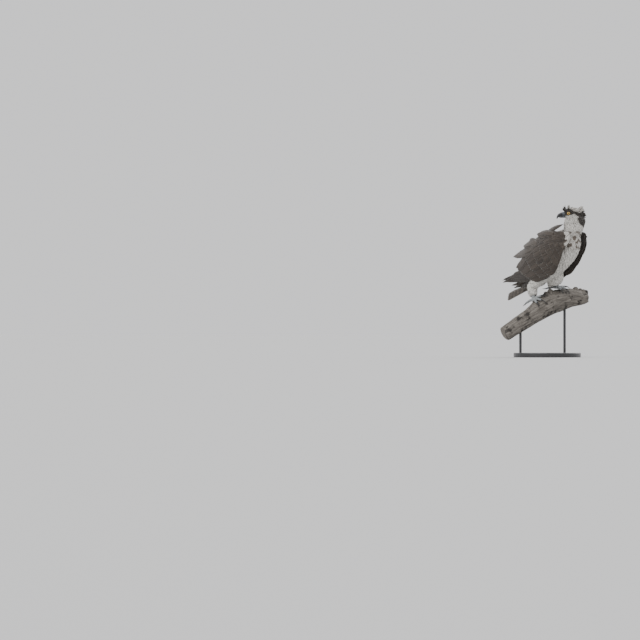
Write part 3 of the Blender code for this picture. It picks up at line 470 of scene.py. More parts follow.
def give_colours(mesh, name, values):
    full = np.column_stack((values, np.ones(len(values))))
    mesh.color_attributes.new(name, "FLOAT_COLOR", "POINT").data.foreach_set("color", full.ravel())


skin_points, skin_out = points_of(mesh), normals_of(mesh)
mesh.calc_loop_triangles()
skin_faces = np.array([t.vertices[:] for t in mesh.loop_triangles])
give_colours(mesh, "tone", markings(skin_points)[0] * 0.8)
skin_finish, tree, shader = new_finish("feathered_skin", Roughness=0.9, Sheen_Weight=0.2)
tone = add_node(tree, "Attribute", attribute_name="tone").outputs["Color"]
down = add_node(tree, "TexNoise", {"Vector": add_node(tree, "TexCoord").outputs["Object"], "Scale": 700,
                                   "Detail": 4})
shade = add_node(tree, "MapRange", {"Value": down.outputs["Fac"], "To Min": 0.75, "To Max": 1.15})
mixed = add_node(tree, "Mix", {"Factor": 1.0, "A": tone, "B": shade.outputs["Result"]},
                 data_type="RGBA", blend_type="MULTIPLY")
tree.links.new(mixed.outputs[2], shader.inputs["Base Color"])
relief = add_node(tree, "Bump", {"Height": down.outputs["Fac"], "Strength": 0.6, "Distance": 0.0006})
tree.links.new(relief.outputs["Normal"], shader.inputs["Normal"])
link_piece("skin", mesh, skin_finish, "white_feathers", ["torso", "neck", "head", "thigh_left", "thigh_right"])

# The small feathers of head, neck and body: thin closed vanes rooted in the skin, which lie along
# the body, shingle over one another and are finest on the face. One finish serves every feather.
skin_tree = BVHTree.FromPolygons(skin_points.tolist(), skin_faces.tolist())
EYE_AT = np.array((18, 14.8, 5))
EYE_RADIUS = 8.6
BAKE_PATCH = 0.003
# Region: spacing, length, width and lift of the tip in mm, share of the tip that rounds off
COAT = {
    "face": (1.9, 5.5, 3.2, 1.5, 0.6),
    "crown": (2.5, 9.0, 4.0, 2.3, 0.6),
    "throat": (2.9, 11.0, 4.6, 2.8, 0.6),
    "neck": (3.7, 16.0, 6.2, 3.8, 0.6),
    "breast": (7.2, 27.0, 15.0, 5.0, 0.45),
    "belly": (8.0, 32.0, 17.0, 5.2, 0.5),
    "back": (10.0, 36.0, 19.0, 5.2, 0.4),
    "thigh": (5.6, 25.0, 10.5, 5.4, 0.6),
    "shank": (4.2, 14.0, 7.0, 3.2, 0.6),
}


def axis_on_unwrap(points):
    """Where points lie on an unwrap of the bird's own shape: round it and along it, 0 to 1."""
    head, bird = to_head(points), to_bird(points)
    place, round_trunk, _ = trunk_place(points)
    round_head = np.arctan2(head[:, 1], head[:, 0] + 0.004) / (2 * math.pi) + 0.5
    around = round_trunk / 360 * np.where(bird[:, 1] < 0, -1, 1) + 0.5
    high = soft_step(0.53, 0.57, points[:, 2])
    u = around * (1 - high) + round_head * high
    v = np.where(high > 0.5, 0.5 + (points[:, 2] - 0.55) * 2.6, 0.46 - place * 0.42)
    return np.stack((0.02 + 0.58 * u, np.clip(v, 0.01, 0.97)), axis=1)


def feather_width(s, rounding):
    """A feather's width along it, as a share of the whole, round at its free end."""
    end = np.clip((s - (1 - rounding)) / rounding, 0, 1)
    return np.minimum(1, 0.5 + 1.6 * s) * np.sqrt(np.maximum(1 - end**2.2, 0.02))


def vane_mesh(name, top, under, tones, patches, sizes, marks):
    """One mesh of closed feathers.

    top and under are grids of points (feather, along, across), tones the colours on that grid,
    patches the place of each root on the unwrap, sizes the length and width of each in mm with a
    random share, marks the amounts of shaft streak, pale fringe and bars.
    """
    count, rows, columns, _ = top.shape
    grid = np.arange(rows * columns).reshape(rows, columns)
    low = grid.copy()
    low[1:-1, 1:-1] = rows * columns + np.arange((rows - 2) * (columns - 2)).reshape(rows - 2, -1)
    quads = [np.stack((g[:-1, :-1], g[:-1, 1:], g[1:, 1:], g[1:, :-1]), -1).reshape(-1, 4)
             for g in (grid, low)]
    faces = np.concatenate((quads[0], quads[1][:, ::-1]))

    def both(values):
        inner = values[:, 1:-1, 1:-1].reshape(count, -1, values.shape[-1])
        return np.concatenate((values.reshape(count, -1, values.shape[-1]), inner), axis=1)
    points = np.concatenate((top.reshape(count, -1, 3), under[:, 1:-1, 1:-1].reshape(count, -1, 3)), 1)
    each = points.shape[1]
    corners = (faces[None] + (np.arange(count) * each)[:, None, None]).reshape(-1)
    mesh = bpy.data.meshes.new(name)
    mesh.vertices.add(count * each)
    mesh.vertices.foreach_set("co", points.ravel())
    mesh.loops.add(len(corners))
    mesh.loops.foreach_set("vertex_index", corners.astype(np.int32))
    mesh.polygons.add(len(corners) // 4)
    mesh.polygons.foreach_set("loop_start", np.arange(0, len(corners), 4, dtype=np.int32))
    mesh.update(calc_edges=True)
    mesh.shade_smooth()
    across, along = np.meshgrid(np.linspace(0, 1, columns), np.linspace(0, 1, rows))
    place = both(np.stack((across, along), -1)[None].repeat(count, 0))
    mesh.uv_layers.new(name="vane").data.foreach_set("uv", place.reshape(-1, 2)[corners].ravel())
    patch = patches[:, None] + (place - 0.5) * BAKE_PATCH
    mesh.uv_layers.new(name="OFBake").data.foreach_set("uv", patch.reshape(-1, 2)[corners].ravel())
    give_colours(mesh, "tone", both(tones).reshape(-1, 3))
    give_vectors(mesh, "span", np.repeat(sizes, each, axis=0))
    give_vectors(mesh, "marks", np.repeat(marks, each, axis=0))
    return mesh


feather_finish, tree, shader = new_finish("feather", Roughness=0.62, Sheen_Weight=0.18,
                                          Sheen_Roughness=0.5, Specular_IOR_Level=0.3)
tone = add_node(tree, "Attribute", attribute_name="tone").outputs["Color"]
place = add_node(tree, "SeparateXYZ", {0: add_node(tree, "UVMap", uv_map="vane").outputs["UV"]})
span = add_node(tree, "SeparateXYZ", {0: add_node(tree, "Attribute", attribute_name="span").outputs["Vector"]})
marks = add_node(tree, "SeparateXYZ", {0: add_node(tree, "Attribute", attribute_name="marks").outputs["Vector"]})
aside = math_node(tree, "ABSOLUTE", math_node(tree, "SUBTRACT", place.outputs["X"], 0.5))
barb = math_node(tree, "SUBTRACT", math_node(tree, "MULTIPLY", place.outputs["Y"], span.outputs["X"]),
                 math_node(tree, "MULTIPLY", aside, span.outputs["Y"]))
uneven = add_node(tree, "TexNoise", {"Vector": add_node(tree, "TexCoord").outputs["Object"], "Scale": 260,
                                     "Detail": 4})
barb = math_node(tree, "ADD", barb, math_node(tree, "MULTIPLY", uneven.outputs["Fac"], 1.6))
comb = math_node(tree, "SINE", math_node(tree, "MULTIPLY", barb, 4.2))
shaft = add_node(tree, "MapRange", {"Value": aside, "From Min": 0.012, "From Max": 0.034, "To Min": 1.0,
                                    "To Max": 0.0})
edge = math_node(tree, "MAXIMUM", math_node(tree, "MULTIPLY", aside, 2.0),
                 math_node(tree, "SUBTRACT", math_node(tree, "MULTIPLY", place.outputs["Y"], 1.9), 0.9))
fringe = add_node(tree, "MapRange", {"Value": edge, "From Min": 0.86, "From Max": 0.97})
fringe = math_node(tree, "MULTIPLY", fringe.outputs["Result"], marks.outputs["Y"], clamp=True)
streak = add_node(tree, "MapRange", {"Value": aside, "From Min": 0.05, "From Max": 0.26, "To Min": 1.0,
                                     "To Max": 0.0})
streak = math_node(tree, "MULTIPLY", streak.outputs["Result"], marks.outputs["X"], clamp=True)
bars = math_node(tree, "SINE", math_node(tree, "MULTIPLY", math_node(
    tree, "MULTIPLY", place.outputs["Y"], marks.outputs["Z"]), 2 * math.pi))
bars = add_node(tree, "MapRange", {"Value": bars, "From Min": -0.15, "From Max": 0.3})
bars = math_node(tree, "MULTIPLY", bars.outputs["Result"],
                 math_node(tree, "MINIMUM", marks.outputs["Z"], 0.62), clamp=True)
shade = add_node(tree, "MapRange", {"Value": comb, "From Min": -1.0, "To Min": 0.86, "To Max": 1.06})
shade = math_node(tree, "MULTIPLY", shade.outputs["Result"],
                  math_node(tree, "SUBTRACT", 1.0, math_node(tree, "MULTIPLY", shaft.outputs["Result"], 0.25)))
colour = add_node(tree, "Mix", {"Factor": streak, "A": tone, "B": (*DUSKY_VANE * 0.7, 1)}, data_type="RGBA")
colour = add_node(tree, "Mix", {"Factor": bars, "A": colour.outputs[2], "B": (*BROWN_VANE * 0.8, 1)},
                  data_type="RGBA")
colour = add_node(tree, "Mix", {"Factor": fringe, "A": colour.outputs[2], "B": (*WHITE_VANE * 0.55, 1)},
                  data_type="RGBA")
colour = add_node(tree, "Mix", {"Factor": 1.0, "A": colour.outputs[2], "B": shade}, data_type="RGBA",
                  blend_type="MULTIPLY")
tree.links.new(colour.outputs[2], shader.inputs["Base Color"])
relief = math_node(tree, "ADD", math_node(tree, "MULTIPLY", comb, 0.4),
                   math_node(tree, "MULTIPLY", shaft.outputs["Result"], 2.0))
relief = add_node(tree, "Bump", {"Height": relief, "Strength": 0.5, "Distance": 0.00025})
tree.links.new(relief.outputs["Normal"], shader.inputs["Normal"])

body_axis_yaw = HEAD_YAW + BIRD_YAW
leg_lines = {side: from_bird(line) for side, line in LEG_LINES.items()}


def near_line(points, start, end):
    """How far points are from a line and how far along it they lie, 0 to 1."""
    run = end - start
    f = np.clip(((points - start) @ run) / (run @ run), 0, 1)
    return np.linalg.norm(points - start - f[:, None] * run, axis=1), f


def lie(points, normals):
    """Which way the small feathers point at places of the skin."""
    head = to_head(points) / MM
    low = soft_step(6, -14, head[:, 2]) * soft_step(-30, 0, head[:, 0])
    on_head = np.stack((-1 + 0.25 * low, 0 * low, -0.3 - 0.35 * low), axis=1)
    on_head = turned(unit(on_head), body_axis_yaw)
    _, _, pitch = trunk_place(points)
    on_trunk = turned(np.stack((-np.cos(pitch), 0 * pitch, -np.sin(pitch)), axis=1), BIRD_YAW)
    down = np.tile((0.0, 0.0, -1.0), (len(points), 1))
    up_head = soft_step(600, 618, points[:, 2] / MM)[:, None]
    up_neck = soft_step(520, 575, points[:, 2] / MM)[:, None]
    way = on_head * up_head + (down * up_neck + on_trunk * (1 - up_neck)) * (1 - up_head)
    for side, line in leg_lines.items():
        gap, f = near_line(points, line[0], line[1])
        near = soft_step(48, 36, gap / MM) * soft_step(0.05, 0.4, f)
        way = way * (1 - near[:, None]) + unit(line[1] - line[0]) * near[:, None]
        gap, f = near_line(points, line[1], line[2])
        near = soft_step(34, 26, gap / MM) * soft_step(0.0, 0.2, f)
        way = way * (1 - near[:, None]) + unit(line[2] - line[1]) * near[:, None]
    gap, f = near_line(points, from_bird(TAIL_ROOT), from_bird(TAIL_TIP))
    near = (soft_step(34, 20, gap / MM) * soft_step(0.0, 0.1, f))[:, None]
    way = way * (1 - near) + turned(tail_along, BIRD_YAW) * near
    return unit(way - normals * (way * normals).sum(1, keepdims=True))


def region_of(points):
    """The name of the kind of feather that grows at each place."""
    head = to_head(points) / MM
    z = points[:, 2] / MM
    names = np.full(len(points), "belly", dtype="<U8")
    place, round_trunk, _ = trunk_place(points)
    names[(z > 455) & (round_trunk > 60)] = "breast"
    names[round_trunk <= 72] = "back"
    names[(z > 548)] = "neck"
    names[(z + 3 * ripple(points, 20 * MM, 12) > 592)] = "throat"
    for side, line in leg_lines.items():
        gap, f = near_line(points, line[0], line[1])
        names[(gap < 43 * MM) & (f > 0.25)] = "thigh"
        gap, f = near_line(points, line[1], line[2])
        names[(gap < 28 * MM) & (f > 0.1)] = "shank"
    names[z > 612] = "crown"
    names[(z > 612) & (head[:, 0] > -16) & (head[:, 2] < 17)] = "face"
    return names


draw = np.random.default_rng(17)
corners = skin_points[skin_faces]
areas = np.linalg.norm(np.cross(corners[:, 1] - corners[:, 0], corners[:, 2] - corners[:, 0]), axis=1) / 2
middles = corners.mean(1)
face_region = region_of(middles)
spacing = np.array([COAT[name][0] for name in face_region]) * MM
chance = areas / spacing**2
picks = np.searchsorted(np.cumsum(chance), draw.uniform(0, chance.sum(), int(chance.sum() * 7)))
share = draw.uniform(0, 1, (len(picks), 2))
flip = share.sum(1) > 1
share[flip] = 1 - share[flip]
tri = corners[picks]
seeds = tri[:, 0] + (tri[:, 1] - tri[:, 0]) * share[:, :1] + (tri[:, 2] - tri[:, 0]) * share[:, 1:]
radii = spacing[picks] * 0.82
seed_tree = KDTree(len(seeds))
for i, p in enumerate(seeds):
    seed_tree.insert(p, i)
seed_tree.balance()
dropped = np.zeros(len(seeds), bool)
kept = []
for i in range(len(seeds)):
    if not dropped[i]:
        kept.append(i)
        for _, j, _ in seed_tree.find_range(seeds[i], radii[i]):
            dropped[j] = True
roots = seeds[kept]
root_names = face_region[picks[kept]]
head = to_head(roots) / MM
bare = (head[:, 0] > 33.5) & (head[:, 2] > -30)
for side in (1, -1):
    bare |= np.linalg.norm(head - EYE_AT * (1, side, 1), axis=1) < EYE_RADIUS + 0.2
for line in leg_lines.values():
    bare |= np.linalg.norm(roots - line[2], axis=1) < 9 * MM
roots, root_names = roots[~bare], root_names[~bare]


def drape(roots, lengths, steps, depths, sway):
    """Midlines of feathers that follow the skin: points, normals and directions, root to tip."""
    at, out = np.empty((2, len(roots), len(steps), 3))
    place = roots
    for k, s in enumerate(steps):
        found = [skin_tree.find_nearest(p) for p in place]
        on_skin = np.array([hit[0] for hit in found])
        normal = np.array([hit[1] for hit in found])
        out[:, k] = normal if k == 0 else unit(normal + 1.2 * out[:, k - 1])
        at[:, k] = on_skin + out[:, k] * (depths * s - 0.6 * MM * (s < 0.05))[:, None]
        if k < len(steps) - 1:
            way = lie(on_skin, out[:, k])
            way = unit(way + np.cross(out[:, k], way) * sway[:, None])
            place = on_skin + way * (lengths * (steps[k + 1] - s))[:, None]
    way = np.gradient(at, axis=1)
    return at, out, unit(way)


def coat_piece(name, at, out, way, lengths, widths, rounding, columns, slot):
    """The small feathers on given midlines as one piece."""
    count, rows, _ = at.shape
    steps = STEPS[rows]
    u = np.linspace(-1, 1, columns)
    side = unit(np.cross(way, out))
    width = feather_width(steps, rounding) * widths[:, None] / 2
    ragged = draw.normal(0, 0.03, (count, rows, columns)) * steps[:, None] ** 4
    ragged = ragged - 0.10 * (u**2) * steps[:, None] ** 5
    top = (at[:, :, None] + side[:, :, None] * (u * width[..., None])[..., None]
           + way[:, :, None] * (ragged * lengths[:, None, None])[..., None]
           - out[:, :, None] * (0.16 * u**2 * width[..., None])[..., None])
    under = top - out[:, :, None] * 0.3 * MM
    colour, streaks = markings(at[:, rows // 2])
    colour = colour * draw.normal(1, 0.06, (count, 1)).clip(0.8, 1.2)
    tones = np.broadcast_to(colour[:, None, None], (*top.shape[:3], 3))
    sizes = np.stack((lengths / MM, widths / MM, draw.uniform(0, 1, count)), axis=1)
    dark = soft_step(0.3, 0.1, colour[:, 0])
    marks = np.stack((streaks * draw.uniform(0, 1, count), dark * draw.uniform(0, 0.35, count),
                      0 * dark), axis=1)
    mesh = vane_mesh(name, top, under, tones, axis_on_unwrap(at[:, 0]), sizes, marks)
    return link_piece(name, mesh, feather_finish, slot)


STEPS = {5: np.array((0, 0.35, 0.7, 0.9, 1)), 6: np.array((0, 0.3, 0.58, 0.8, 0.93, 1))}
for piece, regions, rows, columns in (
    ("face_feathers", ("face",), 5, 3), ("crown_feathers", ("crown", "throat"), 5, 3),
    ("neck_feathers", ("neck",), 6, 5), ("breast_feathers", ("breast", "back"), 6, 5),
    ("belly_feathers", ("belly",), 6, 5), ("thigh_feathers", ("thigh", "shank"), 6, 5),
):
    chosen = np.isin(root_names, regions)
    start = roots[chosen]
    sizes = np.array([COAT[name] for name in root_names[chosen]])
    lengths = sizes[:, 1] * MM * draw.uniform(0.85, 1.15, len(start))
    widths = sizes[:, 2] * MM * draw.uniform(0.9, 1.1, len(start))
    depths = sizes[:, 3] * MM * draw.uniform(0.75, 1.15, len(start))
    sway = draw.normal(0, 0.10, len(start))
    midlines = drape(start, lengths, STEPS[rows], depths, sway)
    coat_piece(piece, *midlines, lengths, widths, sizes[0, 4], columns, "white_feathers")

# The wings: folded along the body, dark brown. Each has a smooth arm under its coverts, then
# primaries, secondaries, four sizes of coverts and the scapulars, some of which the wind lifts.
WRIST = np.array((104, 74, 540)) * MM
WING_TIP = {"left": np.array((-297, 14, 341)) * MM, "right": np.array((-280, 12, 334)) * MM}
WING_SPAN = {"left": 462, "right": 454}
# Along the wing from the wrist, its lower and its upper edge
WING_OUTLINE = np.array((
    (-9, -14, 9), (2, -33, 19), (45, -61, 47), (90, -91, 71), (136, -110, 79), (180, -110, 77),
    (240, -96, 60), (291, -78, 32), (345, -54, 22), (394, -28, 12), (450, 0, 2)))
# Feathers that stand up from the back: place of root and tip on the wing, width and rise
LIFTED = {
    "left": (((40, 32), (118, 66), 28, 7), ((84, 48), (172, 84), 30, 8),
             ((128, 56), (226, 78), 30, 8), ((156, 48), (266, 62), 30, 7),
             ((230, -80), (438, -30), 25, 5), ((215, -80), (430, -46), 26, 4)),
    "right": (((92, 60), (0, 55), 21, 6), ((44, 33), (112, 76), 25, 6), ((78, 54), (160, 94), 28, 8),
              ((156, 40), (230, 106), 30, 8), ((158, 54), (284, 99), 33, 8), ((166, 33), (364, 87), 38, 8))}


def edges_of_wing(a):
    return (np.interp(a, WING_OUTLINE[:, 0], WING_OUTLINE[:, 1]),
            np.interp(a, WING_OUTLINE[:, 0], WING_OUTLINE[:, 2]))


def wing_place(side, a, b, off):
    """Points on a folded wing: a along it, b up it and off outwards, in mm.

    Both wings are laid out as the left one, and the right one is mirrored.
    """
    along = unit(WING_TIP[side] - WRIST)
    out = np.array((0.0, 1, 0))
    out = unit(out - along * (out @ along))
    above = np.cross(out, along)
    low, high = edges_of_wing(a)
    middle = (low + high) / 2
    bulge = 32 * np.sin(math.pi * np.clip(a / 400, 0, 1))
    wrap = np.where(b > middle, 34, 15) * ((b - middle) / 84) ** 2
    nose = 17 * (1 - np.clip(a, -9, 46) / 46) ** 2
    flat = (np.asarray(a)[..., None] * along + np.asarray(b)[..., None] * above
            + np.asarray(bulge - wrap - nose + off)[..., None] * out) * MM + WRIST
    if side == "right":
        flat = flat * (1, -1, 1)
    return from_bird(flat)


def wing_ramp(a):
    return 13.2 - 0.056 * np.maximum(a, 0)


def wing_feathers(side, a0, a1, axis, width, off0, off1, rows, columns, slant=0.0, rounding=0.3,
                  taper=0.0):
    """Grids of the upper and under faces of wing feathers.

    Each feather runs from a0 to a1 along the wing on its own line axis(a), given for all at once.
    """
    count = len(a0)
    s = 1 - (1 - np.linspace(0, 1, rows)) ** 1.5
    u = np.linspace(-1, 1, columns)
    a = a0[:, None] + (a1 - a0)[:, None] * s
    half = feather_width(s, rounding) * width[:, None] / 2 * (1 - taper * s)
    ragged = draw.normal(0, 0.012, (count, rows, columns)) * s[:, None] ** 6
    grid_a = a[:, :, None] + (a1 - a0)[:, None, None] * ragged
    grid_b = axis(a)[:, :, None] + u * half[..., None]
    off = off0[:, None] + (off1 - off0)[:, None] * s
    off = off[:, :, None] - slant * u * half[..., None] - 0.035 * u**2 * half[..., None]
    top = wing_place(side, grid_a, grid_b, off)
    under = wing_place(side, grid_a, grid_b, off - 0.55)
    return (top, under) if side == "left" else (top[:, :, ::-1], under[:, :, ::-1])


def wing_piece(name, side, groups):
    """One piece from groups of feathers: grids, patches, lengths, widths, colours and marks."""
    made = []
    for top, under, roots, lengths, widths, colours, marks in groups:
        tones = np.broadcast_to(colours[:, None, None], (*top.shape[:3], 3))
        sizes = np.stack((lengths, widths, draw.uniform(0, 1, len(lengths))), axis=1)
        patches = roots * (0.00075, 0.0011) + (0.68, 0.25 if side == "left" else 0.72)
        made.append(vane_mesh(name, top, under, tones, patches, sizes, marks))
    bm = bmesh.new()
    for mesh in made:
        bm.from_mesh(mesh)
    bm.to_mesh(made[0])
    bm.free()
    for mesh in made[1:]:
        bpy.data.meshes.remove(mesh)
    return link_piece(name, made[0], feather_finish, "dark_feathers")


def breast_over(side, a, b):
    """How far places at the front of the near wing lie under pale feathers of the breast's side."""
    return soft_step(4, -4, np.asarray(a) - 2 + 0.33 * np.asarray(b)) * (side == "right")


def browns(count, share=1.0):
    tint = draw.normal(1, 0.10, (count, 1)).clip(0.75, 1.3)
    return (BROWN_VANE * 1.15 * tint + (DUSKY_VANE - BROWN_VANE) * draw.uniform(0, 0.22, (count, 1))) * share


# Rows of coverts from the flight feathers to the front: feathers, root, tip, how far the tips of
# the middle and of the upper ones reach beyond, overlap, height of the tip over the arm, fringe
COVERT_ROWS = (
    (15, 150, 265, 26, 68, 2.1, 2.9, 0.45), (15, 118, 214, 18, 38, 2.0, 3.2, 0.55),
    (16, 88, 172, 12, 18, 2.0, 3.0, 0.55), (16, 66, 136, 9, 6, 2.0, 2.9, 0.5),
    (15, 44, 108, 6, 2, 2.0, 2.8, 0.45), (15, 26, 82, 4, 0, 2.0, 2.6, 0.4),
    (14, 10, 58, 2, 0, 2.0, 2.4, 0.35), (12, -2, 37, 0, 0, 2.0, 2.2, 0.3),
    (10, -9, 19, 0, 0, 2.1, 2.0, 0.3), (7, -13, 4, 0, 0, 2.2, 1.6, 0.25))
for side in ("left", "right"):
    bm = bmesh.new()
    bmesh.ops.create_grid(bm, x_segments=26, y_segments=26, size=1)
    flats = bm.verts[:]
    u = np.array([v.co.x for v in flats])
    w = np.array([(v.co.y + 1) / 2 for v in flats])
    a = -9 + 182 * w
    low, high = edges_of_wing(a)
    b = low + 5 + (high - low - 10) * (u + 1) / 2
    off = wing_ramp(a) - 5 * u**4 - 5 * np.maximum(1 - w / 0.12, 0) - 3.5
    depth = (18 - 9 * w) * (1 - 0.6 * u**4) * np.minimum(1, 0.3 + 7 * w)
    upper, lower = wing_place(side, a, b, off), wing_place(side, a, b, off - depth)
    raised = bmesh.ops.duplicate(bm, geom=bm.faces[:])
    pairs = raised["vert_map"]
    for v, p, q in zip(flats, upper, lower):
        v.co = p
        pairs[v].co = q
    edge = [e for e in bm.edges if e.is_boundary]
    bmesh.ops.bridge_loops(bm, edges=edge)
    bmesh.ops.recalc_face_normals(bm, faces=bm.faces)
    mesh = shaped(bm, "wing_arm_" + side, [
        ("REMESH", {"mode": "VOXEL", "voxel_size": 2.4 * MM}), ("SMOOTH", {"iterations": 4, "factor": 0.5})])
    mesh.shade_smooth()
    places = points_of(mesh)
    nearest = KDTree(len(a))
    for k, p in enumerate(upper):
        nearest.insert(p, k)
    nearest.balance()
    spots = np.array([nearest.find(p)[1] for p in places])
    pale = breast_over(side, a[spots], b[spots])[:, None]
    give_colours(mesh, "tone", BROWN_VANE * 0.9 * (1 - pale) + WHITE_VANE * 0.8 * pale)
    link_piece("wing_arm_" + side, mesh, skin_finish, "dark_feathers", ["wing_" + side])

    # Primaries: long narrow blades whose tips step back one behind the next
    count = 10
    k = np.arange(count) * 0.62
    a0, a1 = 128 + 2 * k, WING_SPAN[side] - 17 * k + draw.uniform(-2, 2, count)
    order = k[:, None] + 1.4
    top, under = wing_feathers(
        side, a0, a1, lambda a: edges_of_wing(a)[0] + (9 - 3.2 * np.clip((a - 120) / 330, 0, 1) ** 2) * order,
        np.full(count, 23.0), -1.6 + 0.45 * k, -2.2 + 0.5 * k, 16, 7, slant=0.05, rounding=0.16, taper=0.55)
    marks = np.stack((0 * k, np.full(count, 0.35), 0 * k), axis=1)
    groups = [(top, under, np.stack((a0, -90 + 8 * k), 1), a1 - a0, np.full(count, 22.0),
               browns(count, 0.72), marks)]
    for n, (count, root, tip, reach, upper_reach, overlap, height, fringe) in enumerate(COVERT_ROWS):
        f = (np.arange(count) + (0.5 if n % 2 else 0.2)) / count
        end = tip + reach * np.sin(math.pi * f) + upper_reach * f**1.8 + draw.uniform(-3, 3, count)
        start = root + draw.uniform(-3, 3, count)
        low, high = edges_of_wing(np.full(count, (root + tip) / 2))
        width = (high - low) / count * overlap
        base = wing_ramp(start) - 4.5
        lift = np.maximum(wing_ramp(end) - 2.6, 0) + height + draw.uniform(-0.3, 0.5, count)

        def axis(a, f=f):
            low, high = edges_of_wing(a)
            return low + 1.5 + (high - low - 3) * f[:, None]
        top, under = wing_feathers(side, start, end, axis, width, base, lift, 12, 7, slant=0.035,
                                   rounding=0.34)
        spot = start * 0.2 + end * 0.8 + draw.normal(0, 2, count)
        pale = breast_over(side, spot, low + (high - low) * f) > 0.5
        marks = np.stack((pale * draw.uniform(0, 1, count), fringe * draw.uniform(0.3, 1.3, count) * ~pale,
                          0 * f), axis=1)
        tint = WHITE_VANE * draw.uniform(0.75, 1, (count, 1))
        groups.append((top, under, np.stack((start, low + (high - low) * f), 1), end - start, width,
                       np.where(pale[:, None], tint, browns(count)), marks))
    wing_piece("wing_feathers_" + side, side, groups)

    # Scapulars, and the feathers that the wind lifts off the back
    groups = []
    for (a0, b0), (a1, b1), width, rise in LIFTED[side]:
        count = 5
        run = math.hypot(a1 - a0, b1 - b0)
        s = 1 - (1 - np.linspace(0, 1, 12)) ** 1.4
        u = np.linspace(-1, 1, 7)
        step = np.array((0.0, -0.33, 0.30, -0.62, 0.1))
        size = np.array((1.0, 0.93, 0.9, 0.84, 0.8)) * draw.uniform(0.97, 1.0, count)
        half = feather_width(s, 0.4) * width / 2 * (1 - 0.35 * s) * 0.85
        across = u * half[:, None] + step[:, None, None] * width * 0.8 * (1 - 0.55 * s[:, None])
        frayed = s[None, :, None] * size[:, None, None] + draw.normal(0, 0.012, (count, 12, 7)) * s[:, None] ** 5
        a = a0 + (a1 - a0) * frayed - (b1 - b0) / run * across
        b = b0 + (b1 - b0) * frayed + (a1 - a0) / run * across
        off = wing_ramp(a0) - 3 + rise * s[None, :, None] * draw.uniform(0.8, 1.25, (count, 1, 1))
        off = off + np.array((1.6, 0.4, 0.0, -0.8, -1.4))[:, None, None] - 0.06 * u**2 * half[:, None]
        top, under = wing_place(side, a, b, off), wing_place(side, a, b, off - 0.6)
        if side == "right":
            top, under = top[:, :, ::-1], under[:, :, ::-1]
        marks = np.stack((np.zeros(count), draw.uniform(0.2, 0.5, count), np.zeros(count)), axis=1)
        groups.append((top, under, np.tile((a0, b0), (count, 1)) + step[:, None] * 9, run * size,
                       np.full(count, width * 0.85), browns(count), marks))
    wing_piece("scapulars_" + side, side, groups)

# The tail: twelve barred feathers that shingle outwards from the middle pair, with white coverts
# below their roots and brown ones above, on the skin's own short stump.
tail_length = np.linalg.norm(TAIL_TIP - TAIL_ROOT) / MM
blades = []
s = 1 - (1 - np.linspace(0, 1, 18)) ** 1.4
u = np.linspace(-1, 1, 7)
for k in range(6):
    for hand in (1, -1):
        drop = (k + (0.5 if hand < 0 else 0)) * 1.05
        near, far = hand * (3 + 3.3 * k), hand * (4 + 7.7 * k)
        reach = tail_length - 1.6 * k
        place = 6 + (reach - 6) * s[:, None] * (1 + 0 * u) - 1.6 * u**2 * s[:, None] ** 8
        place = place + draw.normal(0, 0.7, (18, 7)) * s[:, None] ** 8
        lateral = near + (far - near) * s[:, None] + u * (11.5 * feather_width(s, 0.16))[:, None]
        sag = 5 * (lateral / 45) ** 2
        height = -(drop + sag) - 0.35 * u**2 - 0.3 * hand * u
        flat = (TAIL_ROOT + (tail_along * place[..., None] + tail_aside * lateral[..., None]
                             + tail_up * height[..., None]) * MM)
        blades.append((from_bird(flat), from_bird(flat - tail_up * 0.5 * MM),
                       (near, 10 + drop), reach))
top, under = np.array([b[0] for b in blades]), np.array([b[1] for b in blades])
lateral_first = (top[0, 4, -1] - top[0, 4, 0]) @ np.cross(turned(tail_along, BIRD_YAW), turned(tail_up, BIRD_YAW))
if lateral_first < 0:
    top, under = top[:, :, ::-1], under[:, :, ::-1]
patches = np.array([b[2] for b in blades]) * 0.001 + (0.3, 0.02)
sizes = np.array([(b[3], 23, 0.5) for b in blades])
marks = np.tile((0.0, 0.45, 7.5), (12, 1))
tones = np.broadcast_to((DUSKY_VANE * 0.62 * draw.normal(1, 0.05, (12, 1)))[:, None, None], (*top.shape[:3], 3))
mesh = vane_mesh("tail_feathers", top, under, tones, patches, sizes, marks)
link_piece("tail_feathers", mesh, feather_finish, "dark_feathers", ["tail"])
